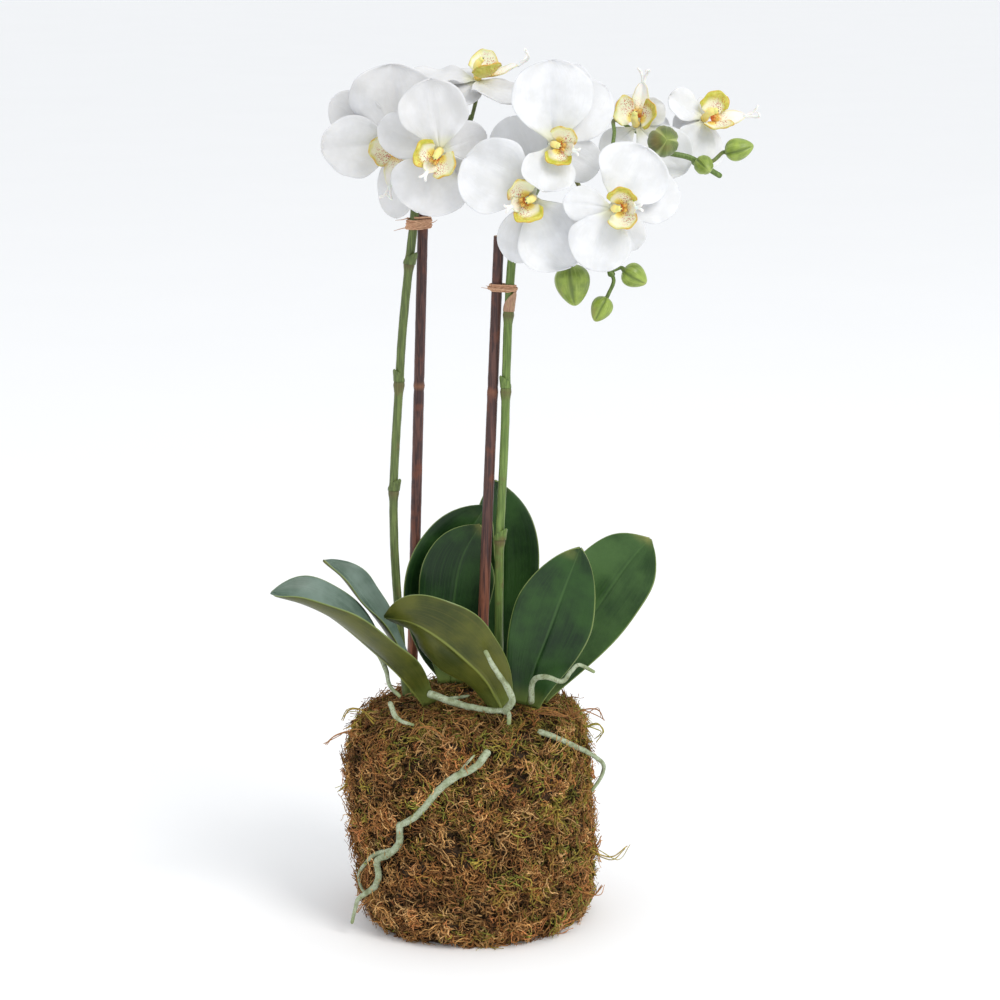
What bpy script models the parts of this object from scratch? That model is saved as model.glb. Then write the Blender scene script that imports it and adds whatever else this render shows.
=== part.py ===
"""A double-stemmed white orchid growing in a moss-wrapped root ball, at its real size.

Units are metres and +Z is up. The origin is the middle of the flat underside of the root ball.
Everything that grows out of the root ball is placed from the crown, the middle of the ball's top.
Tables give lengths in millimetres and angles in degrees.
"""

import math

import bmesh
import bpy
import numpy as np
from mathutils import Matrix, Vector

MM = 0.001

# Driving dimensions.
BALL_HEIGHT = 0.147
BALL_RADIUS = 0.0735
BALL_FOOT_RADIUS = 0.062
STAKE_RADIUS = 0.0035
STAKE_DEPTH = 0.060
STEM_RADIUS = 0.0027
STEM_DEPTH = 0.014
SPIKE_RADIUS = 0.0017
PEDICEL_RADIUS = 0.0012
TIE_RADIUS = 0.0009
LEAF_THICKNESS = 0.0016
TEPAL_THICKNESS = 0.0009
FLOWER_HUB_RADIUS = 0.003
LIP_SHEET_THICKNESS = 0.0012
ROOT_RADIUS = 0.0024
CLEARANCE = 0.0003
MOSS_CLEARANCE = 0.0008
# How far the holes for stakes and stems run on past the moss, so that they open cleanly.
SOCKET_OVERRUN = 0.015

COLLECTION_NAME = "potted_orchid"
CUTTER_COLLECTION_NAME = "cutters"

WHITE = ((0.90, 0.90, 0.89), 0.5)
LIP_YELLOW = ((0.78, 0.74, 0.28), 0.45)
LEAF_GREEN = ((0.035, 0.10, 0.035), 0.35)
LEAF_OLIVE = ((0.14, 0.17, 0.04), 0.4)
STEM_GREEN = ((0.17, 0.27, 0.06), 0.45)
BUD_GREEN = ((0.22, 0.38, 0.08), 0.4)
BAMBOO_BROWN = ((0.09, 0.035, 0.025), 0.5)
RAFFIA_TAN = ((0.50, 0.29, 0.17), 0.8)
ROOT_GREY_GREEN = ((0.38, 0.48, 0.33), 0.7)
MOSS_BROWN = ((0.14, 0.085, 0.025), 0.95)


# ---------------------------------------------------------------- scene and materials


def clear_scene():
    for obj in list(bpy.data.objects):
        bpy.data.objects.remove(obj, do_unlink=True)


def new_collection(name):
    made = bpy.data.collections.new(name)
    bpy.context.scene.collection.children.link(made)
    return made


def make_material(name, look):
    colour, roughness = look
    material = bpy.data.materials.new(name)
    material.use_nodes = True
    shader = material.node_tree.nodes["Principled BSDF"]
    shader.inputs["Base Color"].default_value = (*colour, 1.0)
    shader.inputs["Roughness"].default_value = roughness
    shader.inputs["Metallic"].default_value = 0.0
    material.diffuse_color = (*colour, 1.0)
    return material


def add_mesh_object(name, mesh, look, collection):
    obj = bpy.data.objects.new(name, mesh)
    collection.objects.link(obj)
    mesh.materials.clear()
    mesh.materials.append(make_material(name, look))
    mesh.shade_smooth()
    return obj


# ---------------------------------------------------------------- curves and tubes


def unit(vector):
    vector = np.asarray(vector, float)
    return vector / np.linalg.norm(vector)


def smooth_path(points, count):
    """The given number of points along a Catmull-Rom curve through the route's own points."""
    points = np.asarray(points, float)
    ends = (2 * points[0] - points[1], 2 * points[-1] - points[-2])
    padded = np.vstack([ends[0], points, ends[1]])
    stations = np.linspace(0, len(points) - 1, count)
    made = []
    for station in stations:
        span = min(int(station), len(points) - 2)
        t = station - span
        a, b, c, d = padded[span : span + 4]
        made.append(
            0.5 * (2 * b + (c - a) * t + (2 * a - 5 * b + 4 * c - d) * t**2 + (3 * b - a - 3 * c + d) * t**3)
        )
    return np.array(made)


def tube_mesh(name, points, radii, bevel_resolution=2):
    """A closed round tube along the points: a bevelled poly curve turned into a mesh with its caps welded."""
    curve = bpy.data.curves.new(name, "CURVE")
    curve.dimensions = "3D"
    curve.bevel_depth = 1.0
    curve.bevel_resolution = bevel_resolution
    curve.use_fill_caps = True
    spline = curve.splines.new("POLY")
    spline.points.add(len(points) - 1)
    for point, place, radius in zip(spline.points, points, np.broadcast_to(radii, len(points))):
        point.co = (*place, 1.0)
        point.radius = radius
    guide = bpy.data.objects.new(name, curve)
    bpy.context.scene.collection.objects.link(guide)
    graph = bpy.context.evaluated_depsgraph_get()
    mesh = bpy.data.meshes.new_from_object(guide.evaluated_get(graph))
    bpy.data.objects.remove(guide, do_unlink=True)
    weld(mesh)
    return mesh


def weld(mesh):
    form = bmesh.new()
    form.from_mesh(mesh)
    bmesh.ops.remove_doubles(form, verts=form.verts, dist=1e-6)
    bmesh.ops.recalc_face_normals(form, faces=form.faces)
    form.to_mesh(mesh)
    form.free()


def evaluated_mesh(obj):
    graph = bpy.context.evaluated_depsgraph_get()
    return bpy.data.meshes.new_from_object(obj.evaluated_get(graph))


def joined(first, others):
    """The first mesh with the others joined to it."""
    body = bpy.data.objects.new("joined_body", first)
    bpy.context.scene.collection.objects.link(body)
    for mesh in others:
        tool = bpy.data.objects.new("joined_tool", mesh)
        bpy.context.scene.collection.objects.link(tool)
        modifier = body.modifiers.new("join", "BOOLEAN")
        modifier.operation = "UNION"
        modifier.solver = "MANIFOLD"
        modifier.object = tool
        result = evaluated_mesh(body)
        body.modifiers.clear()
        body.data = result
        bpy.data.objects.remove(tool, do_unlink=True)
    bpy.data.objects.remove(body, do_unlink=True)
    return result


# ---------------------------------------------------------------- root ball

# Radius of the ball at each height, as shares of the ball's radius and height.
BALL_PROFILE = (
    (0.895, 0.020),
    (0.960, 0.075),
    (0.995, 0.200),
    (1.005, 0.400),
    (1.015, 0.560),
    (1.020, 0.700),
    (0.985, 0.810),
    (0.890, 0.890),
    (0.700, 0.945),
    (0.450, 0.980),
    (0.200, 0.997),
)
# How far the middle of the ball wanders sideways with height.
BALL_LEAN = -0.0045
BALL_SEGMENTS = 32


def ball_lump(angle, height):
    """Share by which the hand-packed moss bulges at this angle and share of the height."""
    return (
        0.014 * math.sin(2 * angle + 0.6 + 2.2 * height)
        + 0.012 * math.sin(3 * angle + 2.1 - 3.0 * height)
        + 0.008 * math.sin(5 * angle + 5.0 * height)
    )


def ball_centre_x(height):
    return BALL_LEAN * math.sin(math.pi * min(height, 1.0) ** 1.5)


def ball_radius_at(angle, height):
    shares = [share for share, _ in BALL_PROFILE]
    heights = [level for _, level in BALL_PROFILE]
    return BALL_RADIUS * float(np.interp(height, heights, shares)) * (1 + ball_lump(angle, height))


def ball_side(angle_deg, height_mm, stand_off):
    """A point this far out from the side of the ball, at an angle from +X and a height below the crown."""
    angle = math.radians(angle_deg)
    height = 1 + height_mm * MM / BALL_HEIGHT
    radius = ball_radius_at(angle, height) + stand_off
    return np.array(
        [
            ball_centre_x(height) + radius * math.cos(angle),
            radius * math.sin(angle),
            BALL_HEIGHT * height,
        ]
    )


def ball_top(x, y):
    """Height of the top of the ball over a point."""
    angle = math.atan2(y, x)
    heights = [level for _, level in BALL_PROFILE[6:]]
    radii = [ball_radius_at(angle, level) for level in heights]
    reach = math.hypot(x - ball_centre_x(0.95), y)
    return BALL_HEIGHT * float(np.interp(-reach, [-r for r in radii], heights))


def make_root_ball(collection, cutters):
    form = bmesh.new()
    bmesh.ops.create_cone(
        form,
        cap_ends=True,
        cap_tris=False,
        segments=BALL_SEGMENTS,
        radius1=BALL_FOOT_RADIUS,
        radius2=BALL_FOOT_RADIUS,
        depth=BALL_HEIGHT,
    )
    form.verts.ensure_lookup_table()
    side_edges = []
    for edge in form.edges:
        if abs(edge.verts[0].co.z - edge.verts[1].co.z) > BALL_HEIGHT / 2:
            side_edges.append(edge)
    bmesh.ops.subdivide_edges(form, edges=side_edges, cuts=len(BALL_PROFILE), use_grid_fill=True)
    levels = sorted({round(vert.co.z, 7) for vert in form.verts})
    for vert in form.verts:
        step = levels.index(round(vert.co.z, 7))
        angle = math.atan2(vert.co.y, vert.co.x)
        if step == 0:
            vert.co.z = 0.0
            continue
        if step == len(levels) - 1:
            radius = 0.05 * BALL_RADIUS
            height = 1.0
        else:
            height = BALL_PROFILE[step - 1][1]
            radius = ball_radius_at(angle, height)
        vert.co = (
            ball_centre_x(height) + radius * math.cos(angle),
            radius * math.sin(angle),
            BALL_HEIGHT * height,
        )
    bmesh.ops.recalc_face_normals(form, faces=form.faces)
    mesh = bpy.data.meshes.new("moss_root_ball")
    form.to_mesh(mesh)
    form.free()
    ball = add_mesh_object("moss_root_ball", mesh, MOSS_BROWN, collection)
    for name, foot, top, radius in socket_list():
        socket_mesh = tube_mesh(name, [foot, top], radius + CLEARANCE)
        socket = bpy.data.objects.new(name, socket_mesh)
        cutters.objects.link(socket)
        socket.hide_render = True
        socket.display_type = "WIRE"
        cut = ball.modifiers.new(name, "BOOLEAN")
        cut.operation = "DIFFERENCE"
        cut.object = socket


def socket_list():
    """Name, bottom, top and radius of each hole that a stake or a stem stands in."""
    sockets = []
    for name, table in STAKES.items():
        foot, head = stake_ends(table)
        along = unit(head - foot)
        top = foot + along * (STAKE_DEPTH + SOCKET_OVERRUN)
        sockets.append((name + "_hole", foot - along * CLEARANCE, top, STAKE_RADIUS))
    for name, table in STEMS.items():
        path = stem_path(table)
        along = unit(path[1] - path[0])
        top = path[0] + along * (STEM_DEPTH + SOCKET_OVERRUN)
        sockets.append((name + "_hole", path[0] - along * CLEARANCE, top, STEM_RADIUS))
    return sockets


def from_crown(points):
    """Millimetres from the crown turned into metres from the origin."""
    return np.asarray(points, float) * MM + np.array([0.0, 0.0, BALL_HEIGHT])


# ---------------------------------------------------------------- stakes, stems and ties

# Where each stake leaves the moss and where its cut head is, in millimetres from the crown, and where
# the rings of the cane are, as shares of its length.
STAKES = {
    "stake_left": {"at_moss": (-41, 35, 0), "head": (-31.5, 12.5, 305), "rings": (0.28, 0.69)},
    "stake_right": {"at_moss": (3.2, -4.5, 0), "head": (15.0, 1.0, 288), "rings": (0.22, 0.72)},
}

# Half the length of a ring on a stake, as a share of the stake; how much a ring stands out; the taper.
STAKE_RING_HALF = 0.012
STAKE_RING_SWELL = 1.09
STAKE_TAPER = 0.08

# Each flower stem's route from the moss upwards, and the heights of the nodes on its straight part. Past
# "arch_from" it thins out into the arching spike. Its shoots each run to a flower, to a bud or to a bare end.
STEMS = {
    "flower_stem_left": {
        "route": (
            (-44, 5, 0),
            (-46, 4, 20),
            (-48, 3, 46),
            (-50.5, 2, 92),
            (-50.5, 2, 135),
            (-47.5, 3, 185),
            (-44.5, 4, 229),
            (-40, 5, 272),
            (-37, 6, 297),
            (-35.5, 8, 312),
            (-29, 11, 329),
            (-17, 14, 343),
            (-6, 15, 351),
            (-2, 15, 359),
        ),
        "arch_from": 300,
        "node_levels": (128, 195, 270),
        "shoots": (
            ("flower_a", ((-35.5, 8, 312), (-31, 0, 326))),
            ("flower_b", ((-36.5, 7, 305), (-41, 6, 325))),
            ("flower_c", ((-6, 15, 351), (-2, 15, 358))),
        ),
    },
    "flower_stem_right": {
        "route": (
            (15.5, -6, 0),
            (15, -6, 20),
            (15, -5.5, 60),
            (15.5, -5, 100),
            (16.5, -4.5, 122),
            (18.5, -4, 165),
            (19.5, -4, 205),
            (21, -4, 245),
            (23, -4, 275),
            (27, -3, 297),
            (36, -1, 317),
            (56, -1, 332),
            (83, -3, 337),
            (106, -5, 340),
            (123, -5, 338),
            (133, -3, 335),
            (144, -1, 328),
            (149, 0, 325),
        ),
        "arch_from": 275,
        "node_levels": (98, 192, 240),
        "shoots": (
            ("bud_c", ((57, -1, 332), (67, -12, 311), (71, -19, 291), (76, -21, 276), (82, -20, 269.5))),
            ("bud_b", ((82, -20, 269.5), (84.5, -20, 263))),
            ("bud_a", ((68.5, -15, 306), (62, -22, 290))),
            ("flower_g", ((83, -3, 337), (85, 2, 350), (86, 18, 357))),
            ("flower_h", ((133, -3, 335), (136, 6, 330), (138, 18, 327), (137, 31, 336))),
            ("flower_d", ((37, -1, 318), (39, -14, 319))),
            ("flower_e", ((60, -1, 333), (58, -16, 346))),
            ("flower_f", ((86, -3, 337), (87, -18, 326))),
            ("bud_f", ((136, -3, 334), (144, -2, 333.5))),
            ("bud_d", ((116, -5, 339), (115.5, -8, 341))),
            ("bud_e", ((139, -2, 332), (139, -4, 332))),
        ),
    },
}
STEM_NODE_SWELL = 0.32
STEM_NODE_LENGTH = 0.0035
STEM_NODE_STATIONS = (-1.6, -0.7, 0.0, 0.7, 1.6)
STEM_POINTS = 30
SPIKE_THINS_OVER = 0.05
STALK_LEAD = 0.008

TIES = {
    "tie_left": {"stake": "stake_left", "stem": "flower_stem_left", "level": 294.5, "turns": 3},
    "tie_right": {"stake": "stake_right", "stem": "flower_stem_right", "level": 256.5, "turns": 2},
}
TIE_POINTS_PER_TURN = 14
# Difference in reach over which a tie passes from one of its two round cores to the other.
BELT_BLEND = 0.0012


def stake_ends(table):
    at_moss, head = from_crown([table["at_moss"], table["head"]])
    along = unit(head - at_moss)
    return at_moss - along * STAKE_DEPTH, head


def make_stake(name, table, collection):
    foot, head = stake_ends(table)
    length = np.linalg.norm(head - foot)
    shares = [0.0, 1.0]
    for ring in table["rings"]:
        shares += [ring - STAKE_RING_HALF, ring - STAKE_RING_HALF / 3]
        shares += [ring + STAKE_RING_HALF / 3, ring + STAKE_RING_HALF]
    shares.sort()
    radii = []
    for share in shares:
        on_ring = min(abs(share - ring) for ring in table["rings"]) < STAKE_RING_HALF / 2
        taper = 1 - STAKE_TAPER * share
        radii.append(STAKE_RADIUS * taper * (STAKE_RING_SWELL if on_ring else 1.0))
    points = [foot + unit(head - foot) * length * share for share in shares]
    mesh = tube_mesh(name, points, radii, bevel_resolution=4)
    add_mesh_object(name, mesh, BAMBOO_BROWN, collection)


def stem_path(table):
    route = from_crown(table["route"])
    below = route[0] - unit(route[1] - route[0]) * STEM_DEPTH
    return np.vstack([below, route])


def stem_radius(path, table):
    """Full thickness up to the arch, then thinning to the spike, with a swelling at each node."""
    arch = BALL_HEIGHT + table["arch_from"] * MM
    first = int(np.argmax(path[:, 2] > arch))
    steps = np.linalg.norm(np.diff(path, axis=0), axis=1)
    run = np.concatenate([[0], np.cumsum(steps)])
    past_arch = np.clip((run - run[first]) / SPIKE_THINS_OVER, 0, 1)
    radius = STEM_RADIUS + (SPIKE_RADIUS - STEM_RADIUS) * past_arch
    for level in table["node_levels"]:
        offset = path[:, 2] - BALL_HEIGHT - level * MM
        swell = np.exp(-((offset / STEM_NODE_LENGTH) ** 2))
        radius = radius * (1 + STEM_NODE_SWELL * swell * (past_arch == 0))
    return radius


def node_aware_path(table):
    """The stem's smooth path with extra points where its nodes swell."""
    path = smooth_path(stem_path(table), STEM_POINTS)
    arch = int(np.argmax(path[:, 2] > BALL_HEIGHT + table["arch_from"] * MM))
    straight = path[:arch]
    for level in table["node_levels"]:
        for offset in STEM_NODE_STATIONS:
            height = BALL_HEIGHT + level * MM + offset * STEM_NODE_LENGTH
            place = [np.interp(height, path[:arch, 2], path[:arch, axis]) for axis in range(3)]
            straight = np.vstack([straight, place])
    straight = straight[np.argsort(straight[:, 2])]
    apart = np.concatenate([[True], np.diff(straight[:, 2]) > STEM_NODE_LENGTH * 0.4])
    return np.vstack([straight[apart], path[arch:]])


def seat_behind(name):
    """Where the stalk of a flower or a bud ends, just clear of it, and the way the stalk arrives there."""
    if name in FLOWERS:
        facing = flower_frame(FLOWERS[name])[2]
        centre = from_crown([FLOWERS[name]["centre"]])[0]
        reach = 1.5 * TEPAL_THICKNESS + 2 * CLEARANCE + 0.25 * PEDICEL_RADIUS
    else:
        facing = unit(BUDS[name]["points"])
        centre = from_crown([BUDS[name]["centre"]])[0]
        reach = BUDS[name]["size"][0] * MM / 2 + 2 * CLEARANCE
    return centre - facing * reach, facing


def shoot_route(name, route):
    """The route of a stalk, led round to arrive square behind what it carries."""
    end, facing = seat_behind(name)
    lead = STALK_LEAD if name in FLOWERS else STALK_LEAD / 3
    return np.vstack([from_crown(route), end - facing * lead, end])


def make_stem(name, table, collection):
    path = node_aware_path(table)
    trunk = tube_mesh(name, path, stem_radius(path, table), bevel_resolution=2)
    shoots = []
    for carried, route in table["shoots"]:
        points = shoot_route(carried, route)
        shoot = smooth_path(points, 2 * len(points))
        shoots.append(tube_mesh(name + "_shoot", shoot, PEDICEL_RADIUS, bevel_resolution=1))
    add_mesh_object(name, joined(trunk, shoots), STEM_GREEN, collection)


def belt_point(turn, centres, radii):
    """A point at this angle on a loop pulled tight round two circles."""
    direction = np.array([math.cos(turn), math.sin(turn)])
    reach = [np.dot(centre, direction) + radius for centre, radius in zip(centres, radii)]
    winner = int(reach[1] > reach[0])
    blend = np.clip((reach[1] - reach[0]) / BELT_BLEND * 0.5 + 0.5, 0, 1)
    near = centres[0] + direction * radii[0]
    far = centres[1] + direction * radii[1]
    if 0 < blend < 1:
        return near * (1 - blend) + far * blend
    return (near, far)[winner]


def make_tie(name, table, collection):
    """Raffia wound round a stake and a stem."""
    foot, head = stake_ends(STAKES[table["stake"]])
    stem = smooth_path(stem_path(STEMS[table["stem"]]), 160)
    level = BALL_HEIGHT + table["level"] * MM
    pitch = 2 * TIE_RADIUS + 2 * CLEARANCE
    gap = TIE_RADIUS + 2 * CLEARANCE
    points = []
    count = table["turns"] * TIE_POINTS_PER_TURN
    for index in range(count + 1):
        turn = 2 * math.pi * index / TIE_POINTS_PER_TURN
        height = level + pitch * (turn / (2 * math.pi) - table["turns"] / 2)
        share = (height - foot[2]) / (head[2] - foot[2])
        stake_centre = (foot + (head - foot) * share)[:2]
        rising = stem[: int(0.7 * len(stem))]
        stem_centre = np.array([np.interp(height, rising[:, 2], rising[:, axis]) for axis in (0, 1)])
        radii = (STAKE_RADIUS + gap, STEM_RADIUS + gap)
        points.append([*belt_point(turn, (stake_centre, stem_centre), radii), height])
    mesh = tube_mesh(name, points, TIE_RADIUS, bevel_resolution=1)
    add_mesh_object(name, mesh, RAFFIA_TAN, collection)


# ---------------------------------------------------------------- leaves

# Midline from the base to the tip, in millimetres from the crown; full width in millimetres; the way the
# upper side faces at the base and at the tip; how deeply the blade is channelled, as a share of its width.
LEAVES = {
    "leaf_back": {
        "midline": ((10, 26, 3), (14, 31, 24), (17, 38, 62), (17, 43, 96), (12, 46, 126)),
        "width": 47,
        "facing": ((0, -1, 0.2), (0, -0.9, 0.5)),
        "channel": 0.12,
        "look": LEAF_GREEN,
    },
    "leaf_back_left": {
        "midline": ((-13, 15, 3), (-19, 18, 27), (-19, 21, 56), (-9, 24, 88), (7, 26, 114)),
        "width": 56,
        "facing": ((0.2, -1, 0.2), (0.1, -0.9, 0.4)),
        "channel": 0.10,
        "look": LEAF_GREEN,
    },
    "leaf_middle": {
        "midline": ((-16, 3, 3), (-15, 5, 30), (-13, 8, 60), (-8, 11, 84), (3, 14, 104)),
        "width": 47,
        "facing": ((0.15, -1, 0.1), (0, -0.9, 0.4)),
        "channel": 0.08,
        "look": LEAF_GREEN,
    },
    "leaf_right": {
        "midline": ((38, -11, 2), (59, -4, 27), (79, 3, 57), (96, 9, 80), (110, 14, 95)),
        "width": 54,
        "facing": ((-0.4, -0.9, 0.4), (-0.3, -0.9, 0.45)),
        "channel": 0.13,
        "look": LEAF_GREEN,
    },
    "leaf_front_right": {
        "midline": ((32, -27, 2), (37, -30, 22), (46, -33, 48), (55, -35, 74), (65, -33, 100)),
        "width": 50,
        "facing": ((-0.2, -1, 0.1), (-0.1, -0.95, 0.3)),
        "channel": 0.10,
        "look": LEAF_GREEN,
    },
    "leaf_front": {
        "midline": ((17, -40, 3.5), (7, -46, 20), (-8, -51, 37), (-23, -53, 50), (-38, -51, 58), (-55, -46, 60)),
        "width": 52,
        "facing": ((0.25, 1, 0.25), (0.0, 0.7, 0.75)),
        "channel": 0.14,
        "look": LEAF_OLIVE,
    },
    "leaf_left": {
        "midline": ((-31, -27, 2), (-44, -35, 18), (-61, -42, 37), (-84, -46, 58), (-104, -47, 70), (-124, -46, 75)),
        "width": 42,
        "facing": ((0.35, 0.45, 0.8), (-0.2, -0.35, 0.9)),
        "channel": 0.30,
        "look": LEAF_OLIVE,
    },
    "leaf_back_left_narrow": {
        "midline": ((-38, -9, 2), (-48, -11, 29), (-59, -12, 48), (-71, -13, 65), (-82, -13, 79), (-94, -12, 87)),
        "width": 24,
        "facing": ((0.5, -0.1, 0.85), (0.15, -0.4, 0.9)),
        "channel": 0.25,
        "look": LEAF_GREEN,
    },
}
LEAF_STATIONS = 11
LEAF_ACROSS = 4
LEAF_BASE_SHARE = 0.34
LEAF_WIDEST_AT = 0.58
LEAF_SEAT = 0.0015


def rounded_end(share):
    """Outline of a blunt round end: 1 at its widest and near nothing at the tip."""
    return max(0.0, 1 - share**2.2) ** (1 / 1.9)


def pointed_end(share):
    """Outline of a leaf's tip, which comes to a short point."""
    return max(0.0, 1 - share**1.9) ** (1 / 1.35)


def leaf_outline(share):
    if share < LEAF_WIDEST_AT:
        t = share / LEAF_WIDEST_AT
        return LEAF_BASE_SHARE + (1 - LEAF_BASE_SHARE) * math.sin(math.pi / 2 * t) ** 1.3
    return max(0.05, pointed_end((share - LEAF_WIDEST_AT) / (1 - LEAF_WIDEST_AT)))


def eased_shares(count):
    """Shares from 0 to 1 that close up towards 1, where an outline turns fastest."""
    return [math.sin(math.pi / 2 * index / (count - 1)) ** 0.9 for index in range(count)]


def path_frame(path, facings):
    """Tangent, side and upper normal at each point, with the upper side turned as given."""
    tangents = np.gradient(path, axis=0)
    frames = []
    for tangent, facing in zip(tangents, facings):
        tangent = unit(tangent)
        side = unit(np.cross(tangent, facing))
        frames.append((tangent, side, np.cross(side, tangent)))
    return frames


def sheet_from_grid(name, rows):
    """An open sheet through rows of points, from a grid whose points are moved into place."""
    form = bmesh.new()
    along, across = len(rows), len(rows[0])
    bmesh.ops.create_grid(form, x_segments=across - 1, y_segments=along - 1, size=1.0)
    for vert in form.verts:
        column = round((vert.co.x + 1) / 2 * (across - 1))
        row = round((vert.co.y + 1) / 2 * (along - 1))
        vert.co = Vector(rows[row][column])
    mesh = bpy.data.meshes.new(name)
    form.to_mesh(mesh)
    form.free()
    return mesh


def solidify(obj, thickness):
    shell = obj.modifiers.new("thickness", "SOLIDIFY")
    shell.thickness = thickness
    shell.offset = 0.0
    shell.use_even_offset = False


def make_leaf(name, table, collection):
    midline = from_crown(table["midline"])
    base = midline[0]
    base[2] += ball_top(base[0], base[1]) - BALL_HEIGHT + LEAF_SEAT
    shares = eased_shares(LEAF_STATIONS)
    fine = smooth_path(midline, 201)
    path = np.array([fine[round(share * 200)] for share in shares])
    first, last = (np.asarray(facing, float) for facing in table["facing"])
    frames = path_frame(path, [first * (1 - share) + last * share for share in shares])
    width = table["width"] * MM
    rows = []
    for point, share, (_, side, normal) in zip(path, shares, frames):
        half = width / 2 * leaf_outline(share)
        row = []
        for step in range(LEAF_ACROSS + 1):
            v = -1 + 2 * step / LEAF_ACROSS
            row.append(point + side * half * v + normal * table["channel"] * 2 * half * v * v)
        rows.append(row)
    obj = add_mesh_object(name, sheet_from_grid(name, rows), table["look"], collection)
    solidify(obj, LEAF_THICKNESS)


# ---------------------------------------------------------------- flowers

# Centre in millimetres from the crown; the way the flower faces, as a turn to its own left and a tilt up;
# lobes as (angle round the face, length, width, rise at the base, rise at the tip). Angles run
# anticlockwise from the viewer's right. The lip is (angle, size as a share).
FLOWERS = {
    "flower_a": {
        "centre": (-20, -34, 343),
        "turn": -8,
        "tilt": -5,
        "sepals": ((18, 27, 23, -30, -26), (160, 38, 28, -4, -14), (300, 32, 24, -12, -20)),
        "petals": ((97, 40, 42, 8, -10), (251, 36, 47, 12, 0)),
        "lip": (240, 0.95),
    },
    "flower_b": {
        "centre": (-46, -5, 346),
        "turn": -14,
        "tilt": -8,
        "sepals": ((152, 46, 32, -2, -8), (265, 45, 24, 2, 0), (30, 34, 28, -20, -20)),
        "petals": ((93, 44, 56, 2, -8), (185, 44, 38, 16, 2)),
        "lip": (262, 1.0),
    },
    "flower_c": {
        "centre": (2, 8, 382),
        "turn": 10,
        "tilt": 74,
        "sepals": ((232, 32, 26, -8, -12), (100, 34, 26, -5, -10), (350, 30, 26, -12, -16)),
        "petals": ((172, 38, 38, 2, -6), (295, 38, 36, 2, -8)),
        "lip": (0, 0.95),
    },
    "flower_d": {
        "centre": (35, -46, 316),
        "turn": -6,
        "tilt": 2,
        "sepals": ((108, 50, 37, -20, -22), (253, 38, 28, -6, -10), (316, 49, 28, -12, -14)),
        "petals": ((150, 44, 47, 12, -8), (300, 44, 46, 2, -8)),
        "lip": (200, 0.95),
    },
    "flower_e": {
        "centre": (47, -47, 348),
        "turn": 8,
        "tilt": 3,
        "sepals": ((70, 47, 28, -8, -12), (44, 46, 34, -14, -16), (330, 34, 26, -22, -26)),
        "petals": ((92, 46, 50, 8, -6), (256, 27, 34, 24, 20)),
        "lip": (-18, 0.85),
    },
    "flower_f": {
        "centre": (83, -55, 311),
        "turn": 5,
        "tilt": 4,
        "sepals": ((172, 28, 22, 0, 12), (14, 42, 32, -20, -22), (300, 26, 22, -8, -12)),
        "petals": ((60, 38, 46, -8, -12), (246, 36, 38, 10, -4)),
        "lip": (4, 0.9),
    },
    "flower_g": {
        "centre": (99, 16, 354),
        "turn": -10,
        "tilt": 30,
        "sepals": ((105, 22, 22, -10, -14), (8, 18, 18, -20, -22), (222, 25, 22, -14, -16)),
        "petals": ((40, 18, 20, 10, 8), (318, 40, 34, -6, -12)),
        "lip": (82, 0.95),
    },
    "flower_h": {
        "centre": (140.6, 26, 356.7),
        "turn": 30,
        "tilt": 30,
        "sepals": ((180, 16, 16, -26, -28), (285, 28, 22, -28, -30), (45, 18, 18, -16, -20)),
        "petals": ((140, 23, 24, 4, 0), (240, 25, 28, -14, -20)),
        "lip": (-8, 0.95),
    },
}
SEPAL_SHAPE = {"widest_at": 0.55, "cup": 0.10, "along": 5, "across": 2}
PETAL_SHAPE = {"widest_at": 0.52, "cup": 0.10, "along": 6, "across": 4}
LOBE_HALF_SPAN = 58


def flower_frame(table):
    """Right, up and facing directions of a flower."""
    turn, tilt = math.radians(table["turn"]), math.radians(table["tilt"])
    facing = np.array([math.sin(turn) * math.cos(tilt), -math.cos(turn) * math.cos(tilt), math.sin(tilt)])
    right = np.array([math.cos(turn), math.sin(turn), 0.0])
    return right, np.cross(facing, right), facing


def flower_matrix(table, depth=0.0):
    right, up, facing = flower_frame(table)
    matrix = Matrix.Identity(4)
    for column, axis in enumerate((right, up, facing)):
        for row in range(3):
            matrix[row][column] = axis[row]
    matrix.translation = Vector(from_crown([table["centre"]])[0] + facing * depth)
    return matrix


def lobe_width(share, shape):
    widest = shape["widest_at"]
    if share < widest:
        return math.sin(math.pi / 2 * share / widest) ** 0.8
    return max(0.16, rounded_end((share - widest) / (1 - widest)))


def lobe_rows(lobe, base_row, shape):
    """Rows of points of one lobe in the flower's own plane, each after the base row on the hub."""
    angle, length, width, rise, rise_at_tip = lobe
    outward = np.array([math.cos(math.radians(angle)), math.sin(math.radians(angle)), 0.0])
    side = np.array([-outward[1], outward[0], 0.0])
    facing = np.array([0.0, 0.0, 1.0])
    base_half = np.linalg.norm(base_row[-1] - base_row[0]) / 2
    steps = eased_shares(shape["along"] + 1)
    point = outward * FLOWER_HUB_RADIUS
    rows = [base_row]
    for before, share in zip(steps, steps[1:]):
        slope = math.radians(rise + (rise_at_tip - rise) * (before + share) / 2)
        normal = facing * math.cos(slope) - outward * math.sin(slope)
        point = point + (outward * math.cos(slope) + facing * math.sin(slope)) * length * MM * (share - before)
        half = max(base_half, width * MM / 2 * lobe_width(share, shape))
        row = []
        for step in range(shape["across"] + 1):
            v = -1 + 2 * step / shape["across"]
            row.append(point + side * half * v + normal * shape["cup"] * half * v * v)
        rows.append(row)
    return rows


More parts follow.
